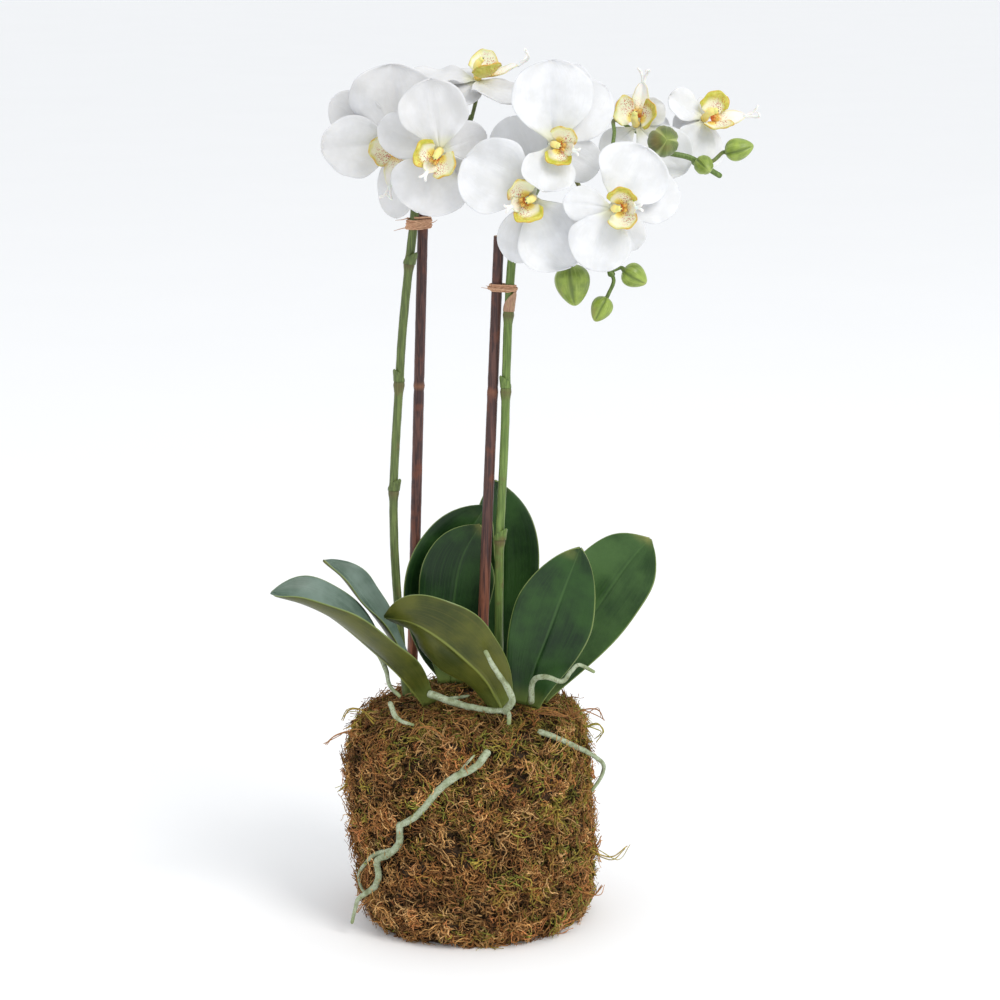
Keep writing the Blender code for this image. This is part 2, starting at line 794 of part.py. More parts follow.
def lobe_spans(angles):
    """Start and end angle of each lobe's seat on the hub, with neighbours meeting half way."""
    spans = []
    for index, angle in enumerate(angles):
        before = (angle - angles[index - 1]) % 360 or 360
        after = (angles[(index + 1) % len(angles)] - angle) % 360 or 360
        spans.append((angle - min(LOBE_HALF_SPAN, before / 2), angle + min(LOBE_HALF_SPAN, after / 2)))
    return spans


def star_sheet(name, lobes, shape):
    """An open sheet of lobes round a small hub."""
    form = bmesh.new()
    lobes = sorted((lobe[0] % 360, *lobe[1:]) for lobe in lobes)
    hub = {}

    def hub_vert(angle):
        key = round(angle % 360, 3) % 360
        if key not in hub:
            place = Vector((math.cos(math.radians(key)), math.sin(math.radians(key)), 0.0))
            hub[key] = form.verts.new(place * FLOWER_HUB_RADIUS)
        return hub[key]

    for lobe, (start, end) in zip(lobes, lobe_spans([lobe[0] for lobe in lobes])):
        count = shape["across"] + 1
        base = [hub_vert(start + (end - start) * step / (count - 1)) for step in range(count)]
        rows = lobe_rows(lobe, [np.array(vert.co) for vert in base], shape)
        grid = [base]
        for row in rows[1:]:
            grid.append([form.verts.new(Vector(place)) for place in row])
        for lower, upper in zip(grid, grid[1:]):
            for step in range(count - 1):
                form.faces.new((lower[step], upper[step], upper[step + 1], lower[step + 1]))
    middle = form.verts.new((0.0, 0.0, 0.0))
    ring = [hub[key] for key in sorted(hub)]
    for index, vert in enumerate(ring):
        form.faces.new((middle, vert, ring[(index + 1) % len(ring)]))
    bmesh.ops.recalc_face_normals(form, faces=form.faces)
    if middle.normal.z < 0:
        bmesh.ops.reverse_faces(form, faces=form.faces)
    mesh = bpy.data.meshes.new(name)
    form.to_mesh(mesh)
    form.free()
    return mesh


def solid_of_sheet(mesh, thickness):
    """A closed thin solid made from an open sheet."""
    blade = bpy.data.objects.new(mesh.name, mesh)
    bpy.context.scene.collection.objects.link(blade)
    solidify(blade, thickness)
    solid = evaluated_mesh(blade)
    bpy.data.objects.remove(blade, do_unlink=True)
    return solid


# Lobes of the lip as on a flower: two broad side lobes that curl up into a bowl, and the narrow middle
# lobe. They spread from a point this far down from the column.
LIP_LOBES = ((196, 18, 17, 20, 96), (344, 18, 17, 20, 96), (270, 21, 12, 10, 34))
LIP_SHAPE = {"widest_at": 0.55, "cup": 0.18, "along": 4, "across": 2}
LIP_DROP = 0.0035
# Gap that lifts the lip off the petals.
LIP_LIFT = 0.0012
COLUMN_ROUTE = ((0, 0, -0.3), (0, 1.2, 4), (0, 0.6, 8), (0, -1.6, 11.2))
COLUMN_RADII = (0.0026, 0.0022, 0.0020, 0.0024, 0.0022, 0.0012)
TENDRIL_ROUTE = ((0.3, -25.0, 7.6), (1.2, -30, 10.0), (3.2, -33, 12.6), (4.4, -33, 16))
TENDRIL_RADIUS = 0.0007


def lip_mesh():
    """Lip and column of one flower: the lip points along -Y and the flower faces +Z."""
    lobes = solid_of_sheet(star_sheet("lip_sheet", LIP_LOBES, LIP_SHAPE), LIP_SHEET_THICKNESS)
    lobes.transform(Matrix.Translation((0.0, -LIP_DROP, 0.0)))
    column = smooth_path(np.array(COLUMN_ROUTE) * MM, len(COLUMN_RADII))
    parts = [tube_mesh("column", column, COLUMN_RADII, bevel_resolution=1)]
    for sign in (-1, 1):
        route = smooth_path(np.array(TENDRIL_ROUTE) * MM * (sign, 1, 1), 5)
        parts.append(tube_mesh("tendril", route, TENDRIL_RADIUS, bevel_resolution=0))
    return joined(lobes, parts)


def make_flower(name, table, lip, collection):
    back = -(TEPAL_THICKNESS + CLEARANCE)
    for kind, shape, depth in (("sepals", SEPAL_SHAPE, back), ("petals", PETAL_SHAPE, 0.0)):
        mesh = star_sheet(f"{name}_{kind}", table[kind], shape)
        obj = add_mesh_object(f"{name}_{kind}", mesh, WHITE, collection)
        obj.matrix_world = flower_matrix(table, depth)
        solidify(obj, TEPAL_THICKNESS)
    angle, size = table["lip"]
    lip_object = add_mesh_object(f"{name}_lip", lip.copy(), LIP_YELLOW, collection)
    spin = Matrix.Rotation(math.radians(angle + 90), 4, "Z")
    depth = (TEPAL_THICKNESS + LIP_SHEET_THICKNESS) / 2 + LIP_LIFT
    lip_object.matrix_world = flower_matrix(table, depth) @ spin @ Matrix.Scale(size, 4)


# ---------------------------------------------------------------- buds

# Centre in millimetres from the crown, the way the tip points, length and greatest width in millimetres.
BUDS = {
    "bud_a": {"centre": (59.5, -27, 262), "points": (0.12, -0.1, -1), "size": (24, 21)},
    "bud_b": {"centre": (77, -20, 246), "points": (-0.45, -0.1, -0.9), "size": (15.5, 13)},
    "bud_c": {"centre": (97, -20, 266), "points": (0.85, -0.1, -0.5), "size": (15.5, 14.5)},
    "bud_d": {"centre": (113.5, -27, 348), "points": (0.1, -0.97, 0.15), "size": (21, 18.5)},
    "bud_e": {"centre": (139, -12.5, 332), "points": (0.3, -0.9, -0.3), "size": (13, 11.5)},
    "bud_f": {"centre": (160.5, -1, 341), "points": (0.95, -0.2, 0.25), "size": (17, 13.5)},
}
BUD_SEGMENTS = 12
BUD_RINGS = 8
BUD_GROOVE = 0.07


def make_bud(name, table, collection):
    """A pointed bud with three shallow grooves between its folded sepals."""
    length, width = (size * MM for size in table["size"])
    form = bmesh.new()
    bmesh.ops.create_uvsphere(form, u_segments=BUD_SEGMENTS, v_segments=BUD_RINGS, radius=1.0)
    for vert in form.verts:
        angle = math.atan2(vert.co.y, vert.co.x)
        level = vert.co.z
        ring = math.hypot(vert.co.x, vert.co.y)
        plump = ring * (1 - 0.22 * level) * (1 - BUD_GROOVE * (0.5 + 0.5 * math.cos(3 * angle)))
        vert.co.x = plump * math.cos(angle) * width / 2
        vert.co.y = plump * math.sin(angle) * width / 2
        vert.co.z = (level + 0.10 * max(0, level) ** 6) * length / 2
    mesh = bpy.data.meshes.new(name)
    form.to_mesh(mesh)
    form.free()
    obj = add_mesh_object(name, mesh, BUD_GREEN, collection)
    turn = Vector(table["points"]).to_track_quat("Z", "Y").to_matrix().to_4x4()
    obj.matrix_world = Matrix.Translation(Vector(from_crown([table["centre"]])[0])) @ turn


# ---------------------------------------------------------------- aerial roots

# Each strand runs either over the side of the ball, as (angle, height below the crown, extra stand-off),
# or freely, in millimetres from the crown. The first strand is the main root and the others join it.
AERIAL_ROOTS = {
    "aerial_root_front_left": {
        "side": (
            ((-82, -20, 0), (-87, -27, 0), (-98, -35, 0), (-105, -45, 0), (-114, -60, 0), (-123, -68, 0)),
            ((-123, -68, 0), (-124, -80, 0), (-131, -89, 0), (-138, -95, 0), (-138, -106, 0), (-141, -113, 0)),
            ((-141, -113, 0), (-146, -119, 4), (-148, -124, 9), (-150, -138, 15)),
            ((-127, -84, 0), (-139, -91, 0.3), (-149, -102, 0.6), (-156, -111, 1), (-152, -118, 2), (-146, -119, 3)),
            ((-95, -33, 0), (-92, -26, 1.6), (-88, -20, 3)),
        ),
        "thickness": (1.0, 0.95, 0.8, 0.6, 0.45),
    },
    "aerial_root_over_front": {
        "free": (
            ((-27, -36, 7.5), (-14, -40, 4), (-2, -45, 2), (9, -50, 1.5), (20, -55, 2), (21, -62, -3)),
            ((19, -54, 2.5), (23, -60, 11), (19, -62, 21), (13, -62, 30), (7, -60, 41)),
            ((-17, -39, 5), (-11, -36, 5.5), (-4, -33, 6)),
        ),
        "thickness": (1.0, 1.0, 0.6),
    },
    "aerial_root_right": {
        "free": (
            ((35, -38, 4), (36, -41, 17), (43, -47, 22), (54, -50, 20), (59, -52, 27), (64, -53, 31), (73, -50, 26)),
        ),
        "thickness": (0.8,),
    },
    "aerial_root_right_side": {
        "side": (
            ((-49, -13, 0.6), (-42, -17, 0.6), (-28, -27, 0.6), (-20, -33, 3), (-14, -41, 8), (-12, -50, 7), (-17, -58, 3)),
        ),
        "thickness": (0.8,),
    },
    "aerial_root_left": {
        "free": (((-69, -20, 39), (-60, -24, 30), (-55, -28, 20), (-53, -30, 12), (-47, -34, 6)),),
        "thickness": (0.8,),
    },
    "aerial_root_left_short": {
        "free": (((-52, -42, 3), (-49, -46, -3), (-44, -50, -6), (-38, -53, -7)),),
        "thickness": (0.7,),
    },
}
ROOT_TIP_SHARE = 0.55


def root_strand(kind, route):
    if kind == "free":
        return from_crown(route)
    stand_off = ROOT_RADIUS + MOSS_CLEARANCE
    return np.array([ball_side(angle, height, stand_off + extra * MM) for angle, height, extra in route])


def make_aerial_root(name, table, collection):
    kind = "side" if "side" in table else "free"
    strands = []
    for route, share in zip(table[kind], table["thickness"]):
        path = smooth_path(root_strand(kind, route), 3 * len(route) - 2)
        taper = np.linspace(1, ROOT_TIP_SHARE if share < 0.9 or kind == "free" else 0.85, len(path))
        strands.append(tube_mesh(name, path, ROOT_RADIUS * share * taper, bevel_resolution=1))
    mesh = joined(strands[0], strands[1:]) if len(strands) > 1 else strands[0]
    add_mesh_object(name, mesh, ROOT_GREY_GREEN, collection)


# ---------------------------------------------------------------- assembly


def main():
    clear_scene()
    plant = new_collection(COLLECTION_NAME)
    cutters = new_collection(CUTTER_COLLECTION_NAME)
    make_root_ball(plant, cutters)
    for name, table in STAKES.items():
        make_stake(name, table, plant)
    for name, table in STEMS.items():
        make_stem(name, table, plant)
    for name, table in TIES.items():
        make_tie(name, table, plant)
    for name, table in LEAVES.items():
        make_leaf(name, table, plant)
    lip = lip_mesh()
    for name, table in FLOWERS.items():
        make_flower(name, table, lip, plant)
    for name, table in BUDS.items():
        make_bud(name, table, plant)
    for name, table in AERIAL_ROOTS.items():
        make_aerial_root(name, table, plant)


main()
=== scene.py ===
"""The looks of a double-stemmed white orchid growing in a moss-wrapped root ball.

Units are metres and +Z is up. Everything that grows out of the root ball is placed from the crown,
the middle of the ball's top. Tables give lengths in millimetres and angles in degrees, and hold the
same sizes as the model.
"""

import math

import bpy
import numpy as np
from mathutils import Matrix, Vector, noise


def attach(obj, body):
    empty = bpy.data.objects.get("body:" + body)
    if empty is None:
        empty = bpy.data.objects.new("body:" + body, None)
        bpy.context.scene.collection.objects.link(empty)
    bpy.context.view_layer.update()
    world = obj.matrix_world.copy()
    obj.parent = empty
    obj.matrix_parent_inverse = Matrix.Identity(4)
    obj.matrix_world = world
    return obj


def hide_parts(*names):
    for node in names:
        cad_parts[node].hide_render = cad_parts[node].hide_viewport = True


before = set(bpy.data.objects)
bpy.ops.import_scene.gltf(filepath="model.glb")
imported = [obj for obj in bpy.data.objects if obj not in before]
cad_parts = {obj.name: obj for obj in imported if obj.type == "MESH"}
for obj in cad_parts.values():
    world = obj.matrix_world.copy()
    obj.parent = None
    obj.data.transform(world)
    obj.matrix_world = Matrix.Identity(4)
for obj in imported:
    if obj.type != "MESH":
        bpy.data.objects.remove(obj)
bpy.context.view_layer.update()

MM = 0.001
BALL_HEIGHT = 0.147
BALL_RADIUS = 0.0735
BALL_FOOT_RADIUS = 0.062
STAKE_RADIUS = 0.0035
STAKE_DEPTH = 0.060
STEM_RADIUS = 0.0027
STEM_DEPTH = 0.014
SPIKE_RADIUS = 0.0017
PEDICEL_RADIUS = 0.0012
LEAF_THICKNESS = 0.0016
TEPAL_THICKNESS = 0.0009
FLOWER_HUB_RADIUS = 0.003
LIP_SHEET_THICKNESS = 0.0012
ROOT_RADIUS = 0.0024
CLEARANCE = 0.0003
MOSS_CLEARANCE = 0.0008

# The side of the root ball from its foot: shares of its radius and of its height.
BALL_PROFILE = (
    (0.895, 0.02), (0.96, 0.075), (0.995, 0.2), (1.005, 0.4), (1.015, 0.56), (1.02, 0.7), (0.985, 0.81),
    (0.89, 0.89), (0.7, 0.945), (0.45, 0.98), (0.2, 0.997),
)


def listed(columns, **rows):
    """A table whose rows and columns have names."""
    return {name: dict(zip(columns.split(), row)) for name, row in rows.items()}


# Rings are shares of the length.
STAKES = listed(
    "at_moss head rings",
    stake_left=((-41, 35, 0), (-31.5, 12.5, 305), (0.28, 0.69)),
    stake_right=((3.2, -4.5, 0), (15.0, 1.0, 288), (0.22, 0.72)),
)

# A shoot has the name of what it carries and its route.
STEMS = listed(
    "route arch_from node_levels shoots",
    flower_stem_left=(
        (
            (-44, 5, 0), (-46, 4, 20), (-48, 3, 46), (-50.5, 2, 92), (-50.5, 2, 135), (-47.5, 3, 185),
            (-44.5, 4, 229), (-40, 5, 272), (-37, 6, 297), (-35.5, 8, 312), (-29, 11, 329), (-17, 14, 343),
            (-6, 15, 351), (-2, 15, 359),
        ),
        300, (128, 195, 270),
        (
            ("flower_a", ((-35.5, 8, 312), (-31, 0, 326))), ("flower_b", ((-36.5, 7, 305), (-41, 6, 325))),
            ("flower_c", ((-6, 15, 351), (-2, 15, 358))),
        ),
    ),
    flower_stem_right=(
        (
            (15.5, -6, 0), (15, -6, 20), (15, -5.5, 60), (15.5, -5, 100), (16.5, -4.5, 122),
            (18.5, -4, 165), (19.5, -4, 205), (21, -4, 245), (23, -4, 275), (27, -3, 297), (36, -1, 317),
            (56, -1, 332), (83, -3, 337), (106, -5, 340), (123, -5, 338), (133, -3, 335), (144, -1, 328),
            (149, 0, 325),
        ),
        275, (98, 192, 240),
        (
            ("bud_c", ((57, -1, 332), (67, -12, 311), (71, -19, 291), (76, -21, 276), (82, -20, 269.5))),
            ("bud_b", ((82, -20, 269.5), (84.5, -20, 263))), ("bud_a", ((68.5, -15, 306), (62, -22, 290))),
            ("flower_g", ((83, -3, 337), (85, 2, 350), (86, 18, 357))),
            ("flower_h", ((133, -3, 335), (136, 6, 330), (138, 18, 327), (137, 31, 336))),
            ("flower_d", ((37, -1, 318), (39, -14, 319))), ("flower_e", ((60, -1, 333), (58, -16, 346))),
            ("flower_f", ((86, -3, 337), (87, -18, 326))), ("bud_f", ((136, -3, 334), (144, -2, 333.5))),
            ("bud_d", ((116, -5, 339), (115.5, -8, 341))), ("bud_e", ((139, -2, 332), (139, -4, 332))),
        ),
    ),
)

# A band has half its height, its number of strands and how many of them have loose ends.
TIES = listed(
    "stake stem level half_height strands loose",
    tie_left=("stake_left", "flower_stem_left", 294.5, 2.3, 30, 3),
    tie_right=("stake_right", "flower_stem_right", 256.5, 1.6, 15, 2),
)

# Facing is the way that the upper side looks, at the foot and at the tip.
LEAVES = listed(
    "midline width facing channel",
    leaf_back=(
        ((10, 26, 3), (14, 31, 24), (17, 38, 62), (17, 43, 96), (12, 46, 126)), 47,
        ((0, -1, 0.2), (0, -0.9, 0.5)), 0.12,
    ),
    leaf_back_left=(
        ((-13, 15, 3), (-19, 18, 27), (-19, 21, 56), (-9, 24, 88), (7, 26, 114)), 56,
        ((0.2, -1, 0.2), (0.1, -0.9, 0.4)), 0.1,
    ),
    leaf_middle=(
        ((-16, 3, 3), (-15, 5, 30), (-13, 8, 60), (-8, 11, 84), (3, 14, 104)), 47,
        ((0.15, -1, 0.1), (0, -0.9, 0.4)), 0.08,
    ),
    leaf_right=(
        ((38, -11, 2), (59, -4, 27), (79, 3, 57), (96, 9, 80), (110, 14, 95)), 54,
        ((-0.4, -0.9, 0.4), (-0.3, -0.9, 0.45)), 0.13,
    ),
    leaf_front_right=(
        ((32, -27, 2), (37, -30, 22), (46, -33, 48), (55, -35, 74), (65, -33, 100)), 50,
        ((-0.2, -1, 0.1), (-0.1, -0.95, 0.3)), 0.1,
    ),
    leaf_front=(
        ((17, -40, 3.5), (7, -46, 20), (-8, -51, 37), (-23, -53, 50), (-38, -51, 58), (-55, -46, 60)), 52,
        ((0.25, 1, 0.25), (0.0, 0.7, 0.75)), 0.14,
    ),
    leaf_left=(
        ((-31, -27, 2), (-44, -35, 18), (-61, -42, 37), (-84, -46, 58), (-104, -47, 70), (-124, -46, 75)),
        42, ((0.35, 0.45, 0.8), (-0.2, -0.35, 0.9)), 0.3,
    ),
    leaf_back_left_narrow=(
        ((-38, -9, 2), (-48, -11, 29), (-59, -12, 48), (-71, -13, 65), (-82, -13, 79), (-94, -12, 87)), 24,
        ((0.5, -0.1, 0.85), (0.15, -0.4, 0.9)), 0.25,
    ),
)

# Sepals and petals have their angle in the flower's plane, length, width, rise at the foot and rise at
# the tip. The lip has its angle and a share of the full size.
FLOWERS = listed(
    "centre turn tilt sepals petals lip",
    flower_a=(
        (-20, -34, 343), -8, -5, ((18, 27, 23, -30, -26), (160, 38, 28, -4, -14), (300, 32, 24, -12, -20)),
        ((97, 40, 42, 8, -10), (251, 36, 47, 12, 0)), (240, 0.95),
    ),
    flower_b=(
        (-46, -5, 346), -14, -8, ((152, 46, 32, -2, -8), (265, 45, 24, 2, 0), (30, 34, 28, -20, -20)),
        ((93, 44, 56, 2, -8), (185, 44, 38, 16, 2)), (262, 1.0),
    ),
    flower_c=(
        (2, 8, 382), 10, 74, ((232, 32, 26, -8, -12), (100, 34, 26, -5, -10), (350, 30, 26, -12, -16)),
        ((172, 38, 38, 2, -6), (295, 38, 36, 2, -8)), (0, 0.95),
    ),
    flower_d=(
        (35, -46, 316), -6, 2, ((108, 50, 37, -20, -22), (253, 38, 28, -6, -10), (316, 49, 28, -12, -14)),
        ((150, 44, 47, 12, -8), (300, 44, 46, 2, -8)), (200, 0.95),
    ),
    flower_e=(
        (47, -47, 348), 8, 3, ((70, 47, 28, -8, -12), (44, 46, 34, -14, -16), (330, 34, 26, -22, -26)),
        ((92, 46, 50, 8, -6), (256, 27, 34, 24, 20)), (-18, 0.85),
    ),
    flower_f=(
        (83, -55, 311), 5, 4, ((172, 28, 22, 0, 12), (14, 42, 32, -20, -22), (300, 26, 22, -8, -12)),
        ((60, 38, 46, -8, -12), (246, 36, 38, 10, -4)), (4, 0.9),
    ),
    flower_g=(
        (99, 16, 354), -10, 30, ((105, 22, 22, -10, -14), (8, 18, 18, -20, -22), (222, 25, 22, -14, -16)),
        ((40, 18, 20, 10, 8), (318, 40, 34, -6, -12)), (82, 0.95),
    ),
    flower_h=(
        (140.6, 26, 356.7), 30, 30,
        ((180, 16, 16, -26, -28), (285, 28, 22, -28, -30), (45, 18, 18, -16, -20)),
        ((140, 23, 24, 4, 0), (240, 25, 28, -14, -20)), (-8, 0.95),
    ),
)

# Size is length and width.
BUDS = listed(
    "centre points size",
    bud_a=((59.5, -27, 262), (0.12, -0.1, -1), (24, 21)),
    bud_b=((77, -20, 246), (-0.45, -0.1, -0.9), (15.5, 13)),
    bud_c=((97, -20, 266), (0.85, -0.1, -0.5), (15.5, 14.5)),
    bud_d=((113.5, -27, 348), (0.1, -0.97, 0.15), (21, 18.5)),
    bud_e=((139, -12.5, 332), (0.3, -0.9, -0.3), (13, 11.5)),
    bud_f=((160.5, -1, 341), (0.95, -0.2, 0.25), (17, 13.5)),
)

# A free route has points from the crown. A side route has angles from +X, heights below the crown and
# distances out from the moss.
AERIAL_ROOTS = listed(
    "kind routes thickness",
    aerial_root_front_left=(
        "side",
        (
            ((-82, -20, 0), (-87, -27, 0), (-98, -35, 0), (-105, -45, 0), (-114, -60, 0), (-123, -68, 0)),
            (
                (-123, -68, 0), (-124, -80, 0), (-131, -89, 0), (-138, -95, 0), (-138, -106, 0),
                (-141, -113, 0),
            ),
            ((-141, -113, 0), (-146, -119, 4), (-148, -124, 9), (-150, -138, 15)),
            (
                (-127, -84, 0), (-139, -91, 0.3), (-149, -102, 0.6), (-156, -111, 1), (-152, -118, 2),
                (-146, -119, 3),
            ),
            ((-95, -33, 0), (-92, -26, 1.6), (-88, -20, 3)),
        ),
        (1.0, 0.95, 0.8, 0.6, 0.45),
    ),
    aerial_root_over_front=(
        "free",
        (
            ((-27, -36, 7.5), (-14, -40, 4), (-2, -45, 2), (9, -50, 1.5), (20, -55, 2), (21, -62, -3)),
            ((19, -54, 2.5), (23, -60, 11), (19, -62, 21), (13, -62, 30), (7, -60, 41)),
            ((-17, -39, 5), (-11, -36, 5.5), (-4, -33, 6)),
        ),
        (1.0, 1.0, 0.6),
    ),
    aerial_root_right=(
        "free",
        (
            (
                (35, -38, 4), (36, -41, 17), (43, -47, 22), (54, -50, 20), (59, -52, 27), (64, -53, 31),
                (73, -50, 26),
            ),
        ),
        (0.8,),
    ),
    aerial_root_right_side=(
        "side",
        (
            (
                (-49, -13, 0.6), (-42, -17, 0.6), (-28, -27, 0.6), (-20, -33, 3), (-14, -41, 8),
                (-12, -50, 7), (-17, -58, 3),
            ),
        ),
        (0.8,),
    ),
    aerial_root_left=(
        "free", (((-69, -20, 39), (-60, -24, 30), (-55, -28, 20), (-53, -30, 12), (-47, -34, 6)),), (0.8,),
    ),
    aerial_root_left_short=(
        "free", (((-52, -42, 3), (-49, -46, -3), (-44, -50, -6), (-38, -53, -7)),), (0.7,),
    ),
)

BALL_LEAN = -0.0045
# The slope of the ball's side is taken over this run up and down from a place.
SLOPE_REACH = 0.006
STAKE_RING_SWELL = 1.09
STAKE_TAPER = 0.08
# Rings of a cane's hollow head: distance past its end, and size as a share of its radius.
STAKE_HEAD = ((0.0, 0.93), (0.0001, 0.58), (-0.003, 0.5), (-0.0045, 0.2))
STEM_NODE_SWELL = 0.32
STEM_NODE_LENGTH = 0.0035
SPIKE_THINS_OVER = 0.05
STALK_LEAD = 0.008
BRACT_WRAP = 125
LEAF_BASE_SHARE = 0.34
LEAF_WIDEST_AT = 0.58
LEAF_SEAT = 0.0015
SEPAL_SHAPE = {"widest_at": 0.55, "cup": 0.10}
PETAL_SHAPE = {"widest_at": 0.52, "cup": 0.10}
LIP_SHAPE = {"widest_at": 0.55, "cup": 0.18}
# The middle lobe of the lip, in the columns of a petal, and the same lobe where it stands up towards the
# viewer, with the flowers that hold it so.
LOWERED_TONGUE = (270, 21, 12, 10, 34)
RAISED_TONGUE = (270, 15, 11, 44, 86)
RAISED_TONGUE_FLOWERS = ("flower_a", "flower_d", "flower_e", "flower_f")
LIP_DROP = 0.0035
LIP_LIFT = 0.0012
COLUMN_ROUTE = ((0, 0, -0.3), (0, 1.2, 4), (0, 0.6, 8), (0, -1.6, 11.2))
COLUMN_RADII = (0.0026, 0.0022, 0.0020, 0.0024, 0.0024, 0.0016)
# Each tendril's route from the tip of the middle lobe.
TENDRIL_ROUTE = (
    (0.3, 0, 0), (1.1, -3.2, 2.6), (2.8, -5.6, 5.2), (3.8, -5.4, 8.2), (2.8, -4.2, 10), (1.4, -3.6, 9.2),
)
COLUMN_STEPS = 28
TENDRIL_STEPS = 36
# The flowers whose tepals take the copy of the white with painted shade.
LEFT_SPRAY = ("flower_a", "flower_b", "flower_c")
BUD_GROOVE = 0.07
ROOT_TIP_SHARE = 0.55

MOSS_PIECES = 8
MOSS_SEED = 40
STRANDS_PER_PIECE = 5200
STRANDS_PER_TUFT = 5
STRAND_STEPS = 7
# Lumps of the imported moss: depth in metres, scale and seed.
MOSS_RELIEF = ((0.0040, 70, 21), (0.0020, 190, 22))
# The open hollow in the front of the ball: its run up from the foot, its width and height, and its depth.
MOSS_HOLE_RUN = 0.133
MOSS_HOLE_SIZE = (0.0065, 0.0045)
MOSS_HOLE_DEPTH = 0.010
STEM_STEPS = 260
STEM_STEPS_BELOW_ARCH = 180
STALK_STEPS = 56
TIE_STEPS = 40

CAMERA_TARGET = (0.0156, 0.0, 0.27)
CAMERA_DISTANCE = 1.8
CAMERA_TILT = 12
CAMERA_LENS = 104
SKY = (0.96, 0.98, 1.0, 1)
SKY_STRENGTH = 0.95
LAMP_TARGET = (0.0, 0.0, 0.3)
# Each lamp: its place, width, watts and colour.
LAMPS = {
    "key": ((1.5, -1.7, 2.4), 1.3, 44, (1.0, 0.98, 0.95)),
    "fill": ((-2.0, -1.6, 1.2), 1.8, 3, (0.93, 0.96, 1.0)),
}


# ---------------------------------------------------------------- numbers


def unit(vector):
    vector = np.asarray(vector, float)
    return vector / np.maximum(np.linalg.norm(vector, axis=-1, keepdims=True), 1e-12)


def smooth_path(points, count):
    """The given number of points along a Catmull-Rom curve through the route's own points."""
    points = np.asarray(points, float)
    padded = np.vstack([2 * points[0] - points[1], points, 2 * points[-1] - points[-2]])
    stations = np.linspace(0, len(points) - 1, count)
    spans = np.minimum(stations.astype(int), len(points) - 2)
    t = (stations - spans)[:, None]
    a, b, c, d = (padded[spans + step] for step in range(4))
    return 0.5 * (2 * b + (c - a) * t + (2 * a - 5 * b + 4 * c - d) * t**2 + (3 * b - a - 3 * c + d) * t**3)


def run_along(path):
    """Length along a path up to each of its points."""
    return np.concatenate([[0], np.cumsum(np.linalg.norm(np.diff(path, axis=0), axis=1))])


def bell(away, width):
    """1 in the middle, falling off smoothly over the width to either side."""
    return np.exp(-((away / width) ** 2))


def from_crown(points):
    """Millimetres from the crown turned into metres from the origin."""
    return np.asarray(points, float) * MM + np.array([0.0, 0.0, BALL_HEIGHT])


def screen(red, green, blue):
    """A colour as it looks on a screen, from 0 to 255, in the linear values that nodes take."""
    made = []
    for level in (red, green, blue):
        level /= 255
        made.append(level / 12.92 if level <= 0.04045 else ((level + 0.055) / 1.055) ** 2.4)
    return (*made, 1.0)


def lumpy(places, scale, seed):
    """Smooth noise from about -1 to 1 at each place."""
    shift = Vector((seed * 7.3, seed * 3.1, seed * 5.7))
    flat = np.asarray(places, float).reshape(-1, 3) * scale
    made = [noise.noise(Vector(place) + shift) for place in flat]
    return np.array(made).reshape(np.asarray(places).shape[:-1])


# ---------------------------------------------------------------- shapes


class Shape:
    """Points and faces, with named values at the points, that add up to one mesh."""

    def __init__(self):
        self.points = []
        self.faces = []
        self.slots = []
        self.values = []
        self.count = 0

    def add(self, points, faces, slot=0, **values):
        points = np.asarray(points, float).reshape(-1, 3)
        for block in faces:
            self.faces.append(np.asarray(block, np.int64) + self.count)
            self.slots.append(np.full(len(block), slot, np.int32))
        for key in values:
            values[key] = np.broadcast_to(np.asarray(values[key], float), len(points))
        self.values.append((len(points), values))
        self.points.append(points)
        self.count += len(points)

    def mesh(self, name):
        mesh = bpy.data.meshes.new(name)
        mesh.vertices.add(self.count)
        mesh.vertices.foreach_set("co", np.concatenate(self.points).astype(np.float32).ravel())
        corners = np.concatenate([block.ravel() for block in self.faces])
        sizes = np.concatenate([np.full(len(block), block.shape[1]) for block in self.faces])
        mesh.loops.add(len(corners))
        mesh.loops.foreach_set("vertex_index", corners.astype(np.int32))
        mesh.polygons.add(len(sizes))
        starts = np.concatenate([[0], np.cumsum(sizes)[:-1]])
        mesh.polygons.foreach_set("loop_start", starts.astype(np.int32))
        mesh.polygons.foreach_set("material_index", np.concatenate(self.slots))
        mesh.update(calc_edges=True)
        for key in sorted({key for _, values in self.values for key in values}):
            layer = mesh.attributes.new(key, "FLOAT", "POINT")
            parts = [values.get(key, np.zeros(count)) for count, values in self.values]
            layer.data.foreach_set("value", np.concatenate(parts).astype(np.float32))
        mesh.shade_smooth()
        return mesh


def new_object(name, data):
    made = bpy.data.objects.new(name, data)
    bpy.context.scene.collection.objects.link(made)
    return made


def piece(shape, name, materials, slot, *replaced):
    """Puts a shape in the scene as one piece of the plant, in place of the solids that it stands for."""
    mesh = shape.mesh(name)
    for material in materials:
        mesh.materials.append(material)
    obj = new_object(name, mesh)
    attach(obj, "root")
    if replaced:
        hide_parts(*replaced)


def grid_quads(rows, columns, wrapped=False):
    """Faces of a grid of points; wrapped joins the last column to the first."""
    across = np.arange(columns if wrapped else columns - 1)
    i, j = np.meshgrid(np.arange(rows - 1), across, indexing="ij")
    k = (j + 1) % columns
    quads = np.stack([i * columns + j, i * columns + k, (i + 1) * columns + k, (i + 1) * columns + j], -1)
    return quads.reshape(-1, 4)


def ringed_faces(rows, columns):
    """Faces of a stack of rings, closed at both ends."""
    ring = np.arange(columns)[None]
    return [grid_quads(rows, columns, wrapped=True), ring[:, ::-1], (rows - 1) * columns + ring]


